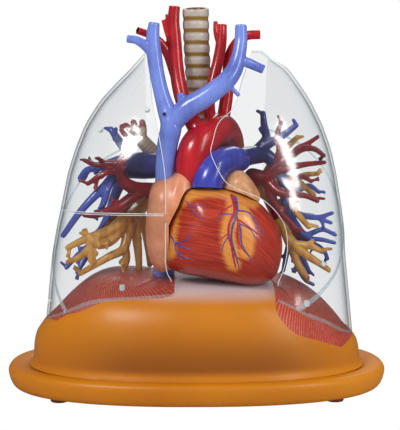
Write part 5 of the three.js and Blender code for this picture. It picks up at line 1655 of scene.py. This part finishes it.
# %% Windpipe
def windpipe_form():
    """Radius along the pipe: full over the middle of each ring, less by the swell at its edges and
    by the relief in a rounded valley."""
    path = smooth_path(WINDPIPE, 60) - (0, 0, PIPE_LOWERED)
    length = length_along(path)
    along = np.arange(0, length[-1], PIPE_STEP)
    centre = np.column_stack([np.interp(along, length, path[:, k]) for k in range(3)])
    place = along % RING_PITCH
    edge = np.minimum(np.abs(place - (RING_PITCH - RING_VALLEY / 2)), np.abs(place + RING_VALLEY / 2))
    ring = ease(edge, 0.25 * RING_VALLEY, 0.75 * RING_VALLEY)
    swell = np.sin(np.clip(place / (RING_PITCH - RING_VALLEY), 0, 1) * math.pi)
    radius = PIPE_RADIUS - RING_RELIEF * (1 - ring) - RING_SWELL + RING_SWELL * swell
    bore = [(0.03, 0.985), (0.055, 0.94), (0.05, 0.86), (0.01, 0.79), (-0.1, 0.767), (-1.35, 0.76)]
    form = tube(np.column_stack([centre, radius]), 72, 1, bore, FLAT)
    x, y, z = form["points"].T
    middle_x, middle_y, ringed = (
        np.interp(z, centre[::-1, 2], rows[::-1]) for rows in (centre[:, 0], centre[:, 1], ring)
    )
    aside = np.hypot(x - middle_x, y - middle_y)
    form["numbers"] = {
        "ring": ringed, "lumen": (aside < 0.8 * PIPE_RADIUS) & (z > LUMEN_ABOVE),
        # front: how far a point faces forward, which the paint uses to put painted shade on the sides
        "front": 0.5 + 0.5 * (middle_y - y) / np.maximum(aside, 1),
    }
    return form


dress(make_piece("trachea_rings", windpipe_form(), windpipe), "stand", "airway_tan", "trachea")

# %% [markdown]
# ## The lung trees
#
# Arteries, veins and bronchi branch like real trees: every fork splits a tube into thinner ones.
# The main branches are listed paths. Fine twigs grow from them by a seeded rule: at chosen
# places along a branch a twig leaves at an angle, bends a little on its way, and forks once. A
# twig that would touch the clear wall is left out. Each tree is then melted into one skin, which
# gives the forks their webbed, cast look.

# %% Lung tree paths, as [x, y, z, radius]
RIGHT_ARTERY_TRUNK = [
    (32, -22, 209, 10.5), (16, -8, 206, 10.8), (-6, -2, 206, 11), (-29, 0, 206, 11.2),
    (-48, 0, 206, 12.4), (-63, -3, 206, 11.6),
]
LEFT_ARTERY_TRUNK = [(36, -19, 212, 10), (48, -4, 215, 8.8), (60, 5, 216, 8)]
RIGHT_BRONCHUS = [
    (2, 19, 212, 8.4), (-14, 20, 198, 8.2), (-30, 18, 182, 7.8), (-46, 14, 171, 7.2), (-64, 9, 161, 6),
]
RINGED_BRONCHUS = [(-20, 18, 194, 7), (-36, 13, 212, 7.2), (-46, 8, 224, 6.8), (-54, 2, 233, 6)]
LEFT_BRONCHUS = [(10, 19, 212, 8.2), (28, 21, 199, 7.8), (48, 20, 187, 7.2), (66, 14, 178, 6)]
RIGHT_VEIN_ROOT = [(-16, -2, 178, 8), (-30, -5, 181, 8), (-44, -9, 183, 8), (-56, -15, 184, 7.2)]
LEFT_VEIN_ROOT = [(46, -3, 184, 7.6), (52, -6, 190, 7.2), (60, -12, 194, 6.4)]
BRANCHES = {
    "right_pulmonary_artery": [
        [
            (-57, -4, 209, 7.6), (-71, -14, 201, 6.2), (-82, -22, 189, 4.8), (-92, -26, 180, 3.9),
            (-105, -28, 166, 3.3), (-121, -24, 144, 2.6),
        ],
        [
            (-61, -2, 213, 6.2), (-83, -8, 207, 4.4), (-93, -10, 204, 3.5), (-101, -8, 202, 2.9),
            (-107, -8, 195, 2.3),
        ],
        [(-77, -18, 196, 4.6), (-81, -24, 186, 3.8), (-84, -26, 174, 3.1), (-90, -24, 163, 2.5)],
        [
            (-63, 0, 204, 6.2), (-75, 10, 180, 4.8), (-84, 14, 155, 4), (-98, 14, 133, 3.2),
            (-112, 8, 121, 2.6), (-121, 2, 111, 2.1),
        ],
        [(-92, 14, 143, 3.4), (-102, 8, 122, 2.9), (-111, 2, 107, 2.2)],
        [(-61, 0, 215, 5.4), (-72, 4, 229, 4), (-79, 8, 239, 3)],
    ],
    "left_pulmonary_artery": [
        [
            (61, 6, 218, 6.8), (74, 6, 206, 6), (81, 4, 188, 5.1), (83, 0, 167, 4.4), (92, -6, 151, 3.6),
            (100, -10, 143, 3), (115, -14, 148, 2.3), (127, -14, 143, 1.8),
        ],
        [(57, 4, 220, 6), (64, 2, 231, 4.2), (62, 0, 243, 3.4), (61, 0, 254, 2.6)],
        [(60, 2, 222, 5.1), (70, 0, 228, 4.2), (81, -4, 235, 3.4), (91, -6, 243, 2.5)],
        [(85, 0, 163, 3.9), (95, -8, 161, 3.2), (111, -12, 159, 2.5), (124, -12, 163, 1.9)],
        [(106, -10, 160, 2.4), (115, -12, 157, 2.2), (123, -12, 154, 1.8)],
        [(93, -8, 149, 3), (102, -14, 140, 2.5), (114, -16, 139, 2.2), (126, -16, 136, 1.8)],
        [
            (86, 0, 155, 3.6), (95, -2, 137, 3.1), (107, -4, 134, 2.6), (117, -6, 128, 2.2),
            (121, -6, 120, 1.8),
        ],
        [(84, 4, 163, 3.9), (88, 10, 138, 3.4), (100, 10, 117, 2.8), (106, 10, 105, 2.1)],
        [(88, 10, 138, 3.3), (94, 14, 115, 2.8), (102, 14, 98, 2.2), (110, 14, 93, 1.7)],
        [(81, 4, 188, 3.9), (94, -4, 184, 3), (103, -8, 188, 2.4), (112, -10, 182, 1.9)],
        [(87, 10, 136, 2.9), (84, 16, 118, 2.5), (82, 18, 106, 2)],
    ],
    "right_bronchi": [
        [
            (-56, 10, 165, 6.4), (-63, -6, 160, 6.4), (-72, -20, 153, 5.8), (-82, -27, 147, 5),
            (-95, -29, 143, 4.2), (-107, -28, 138, 3.3), (-117, -26, 133, 2.5),
        ],
        [(-88, -28, 146, 4.2), (-96, -30, 134, 3.8), (-106, -30, 125, 3.1), (-117, -28, 120, 2.3)],
        [(-66, -14, 155, 5.2), (-77, -26, 140, 4.6), (-88, -31, 136, 3.8), (-97, -32, 143, 3.2)],
        [
            (-58, 0, 160, 5.4), (-63, -14, 146, 5), (-67, -22, 131, 4.3), (-79, -26, 125, 3.7),
            (-93, -26, 117, 3.1), (-106, -24, 109, 2.4),
        ],
        [(-66, -20, 134, 4.2), (-64, -20, 122, 3.5), (-67, -18, 111, 2.6)],
        [(-56, 6, 163, 5.6), (-56, -4, 146, 4.8), (-54, -8, 128, 3.9), (-53, -8, 111, 2.9)],
        [(-54, 14, 165, 5), (-48, 16, 144, 4.2), (-45, 16, 125, 3.4), (-44, 16, 112, 2.6)],
        [(-97, -30, 141, 3.4), (-95, -31, 130, 3), (-93, -30, 121, 2.3)],
    ],
    "left_bronchi": [
        [
            (67, 14, 177, 6.2), (73, 4, 163, 5.8), (79, -8, 150, 5.2), (86, -18, 138, 4.7),
            (98, -23, 127, 4), (110, -24, 119, 3.2), (120, -23, 112, 2.4),
        ],
        [(81, -12, 146, 4.8), (88, -18, 128, 4.2), (94, -20, 114, 3.5), (101, -20, 104, 2.5)],
        [
            (67, 14, 188, 5.5), (81, 8, 193, 4.4), (92, 0, 194, 3.6), (101, -8, 198, 2.8),
            (111, -10, 199, 2.1),
        ],
        [(84, 6, 193, 3.7), (94, -6, 190, 3.1), (107, -12, 180, 2.4)],
        [(73, 8, 169, 4.5), (86, 0, 173, 3.7), (91, -12, 164, 3.2), (102, -18, 151, 2.6)],
        [(65, 12, 196, 5.1), (73, 8, 211, 4.3), (83, 4, 222, 3.4), (93, 0, 232, 2.5)],
        [(90, -20, 135, 4), (103, -25, 134, 3.3), (114, -25, 129, 2.4)],
    ],
    "right_pulmonary_veins": [
        [
            (-46, -10, 184, 6.8), (-58, -19, 187, 6.2), (-67, -26, 194, 5.4), (-70, -29, 203, 4.9),
            (-67, -29, 213, 4.2), (-62, -26, 223, 3.4), (-63, -24, 232, 2.7), (-68, -22, 239, 2.1),
        ],
        [
            (-50, -13, 182, 6.2), (-60, -21, 177, 5.4), (-70, -29, 171, 4.6), (-80, -33, 167, 3.8),
            (-92, -34, 163, 2.9), (-101, -33, 163, 2.1),
        ],
        [(-69, -28, 201, 4), (-80, -30, 202, 3.3), (-89, -31, 197, 2.7), (-98, -30, 191, 2)],
        [(-68, -29, 209, 3.8), (-80, -28, 209, 3.2), (-91, -27, 208, 2.6), (-101, -26, 212, 2)],
        [(-58, -12, 178, 4.6), (-70, -12, 163, 3.8), (-82, -16, 152, 3.2), (-92, -20, 139, 2.6)],
    ],
    "left_pulmonary_veins": [
        [
            (51, -8, 197, 7.2), (63, -14, 196, 6.6), (72, -18, 205, 5.2), (83, -20, 214, 4),
            (95, -22, 222, 3.2), (106, -22, 222, 2.6), (115, -22, 216, 1.9),
        ],
        [(84, -20, 215, 3.4), (92, -24, 223, 2.9), (100, -24, 227, 2.4), (109, -24, 233, 1.9)],
        [(72, -18, 205, 4.2), (75, -20, 221, 3.3), (73, -18, 235, 2.7), (77, -18, 247, 2)],
        [(68, -16, 201, 4.4), (82, -24, 204, 3.5), (96, -26, 208, 2.8), (115, -26, 210, 2)],
        [
            (65, -14, 192, 5.2), (75, -22, 183, 4.4), (86, -26, 181, 3.4), (98, -26, 180, 2.7),
            (109, -26, 175, 2),
        ],
        [(84, -26, 182, 2.9), (93, -28, 198, 2.4), (103, -28, 193, 1.9)],
        [
            (65, -12, 190, 5.2), (70, -18, 174, 4.3), (77, -22, 163, 3.3), (85, -24, 155, 2.6),
            (90, -24, 149, 2.1),
        ],
        [
            (67, -10, 180, 4.6), (73, -4, 160, 3.8), (83, -6, 148, 3), (97, -10, 141, 2.4),
            (108, -10, 133, 1.9),
        ],
    ],
}
# The upper right bronchus is cast short and ringed, and its three branches end in red tips
STUBBY_TIPS = [
    [(-52, 3, 231, 4), (-59, -2, 238, 3.2), (-65, -5, 243, 2.8)],
    [(-51, 4, 230, 4), (-56, 2, 240, 3.2), (-58, 0, 246, 2.8)],
    [(-50, 4, 229, 4), (-49, 2, 240, 3.2), (-50, 0, 246, 2.8)],
]


# %% Twigs
TWIG_WIDEST, TWIG_THINNEST, FORK_THINNEST = 2.5, 1.5, 1.35
ROOM_TO_WALL, TWIG_LOWEST, TWIG_INNERMOST = 7, 100, 44


def room_inside(points, lung):
    """How far each point stays inside a lung's inner wall, along x."""
    x, y, z = points.T
    widest, front, back = lung_reach(lung, z)
    reach = np.where(y < MIDDLE_Y, front, back) - MIDDLE_Y
    wall_x = lung["medial"] + (widest - lung["medial"]) * along_wall((y - MIDDLE_Y) / reach)
    return (wall_x - x) * lung["side"]


def twig(rng, start, heading, length, radius):
    """A short curved tube: it leaves a branch, bends towards a second heading and thins out."""
    bend = unit(heading + rng.normal(0, 0.35, 3))
    middle = start + heading * length * 0.5
    end = middle + bend * length * 0.5
    return [(*start, radius), (*middle, radius * 0.88), (*end, radius * 0.72)], bend


def twigs_of(branch, rng, lung, count, reach):
    """Forking twigs along a branch, all of which stay inside the clear wall."""
    path = smooth_path(branch, 8)
    grown = []
    for place in np.linspace(0.35, 0.96, count):
        k = int(place * (len(path) - 2)) + 1
        along = unit(path[k, :3] - path[k - 1, :3])
        turn = rng.normal(0, 1, 3)
        turn = unit(turn - turn @ along * along)
        heading = unit((along * 0.75 + turn * 0.75) * (1, 0.7, 1))
        radius = min(path[k, 3] * 0.78, TWIG_WIDEST)
        length = reach * rng.uniform(0.7, 1.2)
        first, bend = twig(rng, path[k, :3], heading, length, max(radius, TWIG_THINNEST))
        runs = [first]
        fork = np.cross(bend, turn)
        for sign in (-1, 1)[:rng.integers(0, 3)]:
            way, thin = unit(bend * 0.8 + fork * 0.55 * sign), max(radius * 0.8, FORK_THINNEST)
            runs.append(twig(rng, np.array(first[1][:3]), way, length * 0.55, thin)[0])
        for run in runs:
            points = np.array(run)[:, :3]
            clear = room_inside(points, lung).min() > ROOM_TO_WALL and points[:, 2].min() > TWIG_LOWEST
            if clear and (points[:, 0] * lung["side"]).min() > TWIG_INNERMOST:
                grown.append(run)
    return grown


# %% [markdown]
# ## Paint for the lung trees
#
# The trees are painted like the great vessels. The blue one is a darker navy near the heart, which is
# painted shade, and lighter out along its thin branches. The airways are tan with scattered gold
# patches of painted highlight, and the short one at the upper right is cream between brown rings,
# with red tips. Where a colour changes, a smooth step on a coordinate says so, which is a mask that
# needs no painting.

# %% Lung tree finishes
def bronchus_material():
    """Tan branches streaked along their length, with gold patches scattered by noise as painted
    highlights. The short upper right one is cream between brown rings, with red tips."""
    material, tree = new_material("bronchus_paint", Roughness=0.34, Coat_Weight=0.4, Coat_Roughness=0.2)
    brush = noise(tree, 1, 3, 0.4, stretched(tree, (180, 180, 40)))
    coat = ramp(tree, brush, (0.34, (160, 104, 40)), (0.6, (208, 152, 72)))
    # Painted highlights: gold patches scattered by noise.
    coat = mix(tree, ramp(tree, noise(tree, 40, 2), (0.45, 0.0), (0.75, 0.6)), coat, (226, 172, 80))
    x, z = axis(tree, "X"), axis(tree, "Z")
    high = step(tree, minus(tree, z, times(tree, x, 0.2)), 0.212, 0.226)
    right = maths(tree, "LESS_THAN", x, -0.02)
    cream = mix(tree, noise(tree, 90, 3), (190, 160, 132), (232, 212, 190))
    rings = maths(tree, "SINE", times(tree, minus(tree, z, x), 1300.0))
    cream = mix(tree, ramp(tree, rings, (0.0, 0.45), (0.6, 0.0)), cream, (150, 118, 84))
    tip = ramp(tree, times(tree, minus(tree, z, 0.2), 10.0), (0.405, 0.0), (0.43, 1.0))
    coat = mix(tree, times(tree, high, right), coat, mix(tree, tip, cream, (150, 24, 34)))
    # Painted shade: dark brown in the lumen of an open end.
    coat = mix(tree, held(tree, "lumen"), coat, (60, 36, 20))
    return coated(material, coat, plus(tree, brush, noise(tree, 420, 2)), 0.00035)


def lighter_outside(tree, coat):
    """A lighter blue out along the thin branches, over the darker navy near the heart, which is painted
    shade.
    """
    outer = step(tree, maths(tree, "ABSOLUTE", axis(tree, "X")), 0.064, 0.086)
    return mix(tree, outer, coat, mix(tree, noise(tree, 60, 2), (84, 100, 184), (64, 76, 160)))


red = vessel_material("lung_vein_paint", (146, 18, 32), (104, 8, 22), 0.3)
# Painted shade: the darker navy nearer the heart, where the arteries lie behind the great vessels.
blue = vessel_material("lung_artery_paint", (54, 56, 132), (32, 34, 96), 0.3, lighter_outside)
tan = bronchus_material()
print("finishes in all:", len(bpy.data.materials))

# %% Lung trees
TREES = {  # trunks, short tips, coat, slot, seed, twigs for each branch, their length
    "right_pulmonary_artery": ([RIGHT_ARTERY_TRUNK], [], blue, "deep_blue", 3, 3, 10.0),
    "left_pulmonary_artery": ([LEFT_ARTERY_TRUNK], [], blue, "deep_blue", 5, 2, 9.0),
    "right_bronchi": ([RIGHT_BRONCHUS, RINGED_BRONCHUS], STUBBY_TIPS, tan, "airway_tan", 7, 2, 10.0),
    "left_bronchi": ([LEFT_BRONCHUS], [], tan, "airway_tan", 11, 2, 9.0),
    "right_pulmonary_veins": ([RIGHT_VEIN_ROOT], [], red, "lung_vein_red", 13, 3, 10.0),
    "left_pulmonary_veins": ([LEFT_VEIN_ROOT], [], red, "lung_vein_red", 17, 2, 9.0),
}
for name, (trunks, tips, coat, slot, seed, count, reach) in TREES.items():
    rng, lung, branches = np.random.default_rng(seed), LUNGS[name.split("_")[0]], BRANCHES[name]
    small = [run for branch in branches for run in twigs_of(branch, rng, lung, count, reach)]
    print(f"{name}: {len(branches)} branches, {len(small)} twigs")
    runs = [tube(trunk, 32, 8, FLAT) for trunk in trunks]
    runs += [tube(branch, 18, 6) for branch in branches + tips] + [tube(run, 12, 5) for run in small]
    vessel(name + "_tree", runs, coat, slot, [heart_whole], [name], voxel=0.75, rounds=3)

for spare in (heart_whole, slide_space):
    bpy.data.objects.remove(spare)
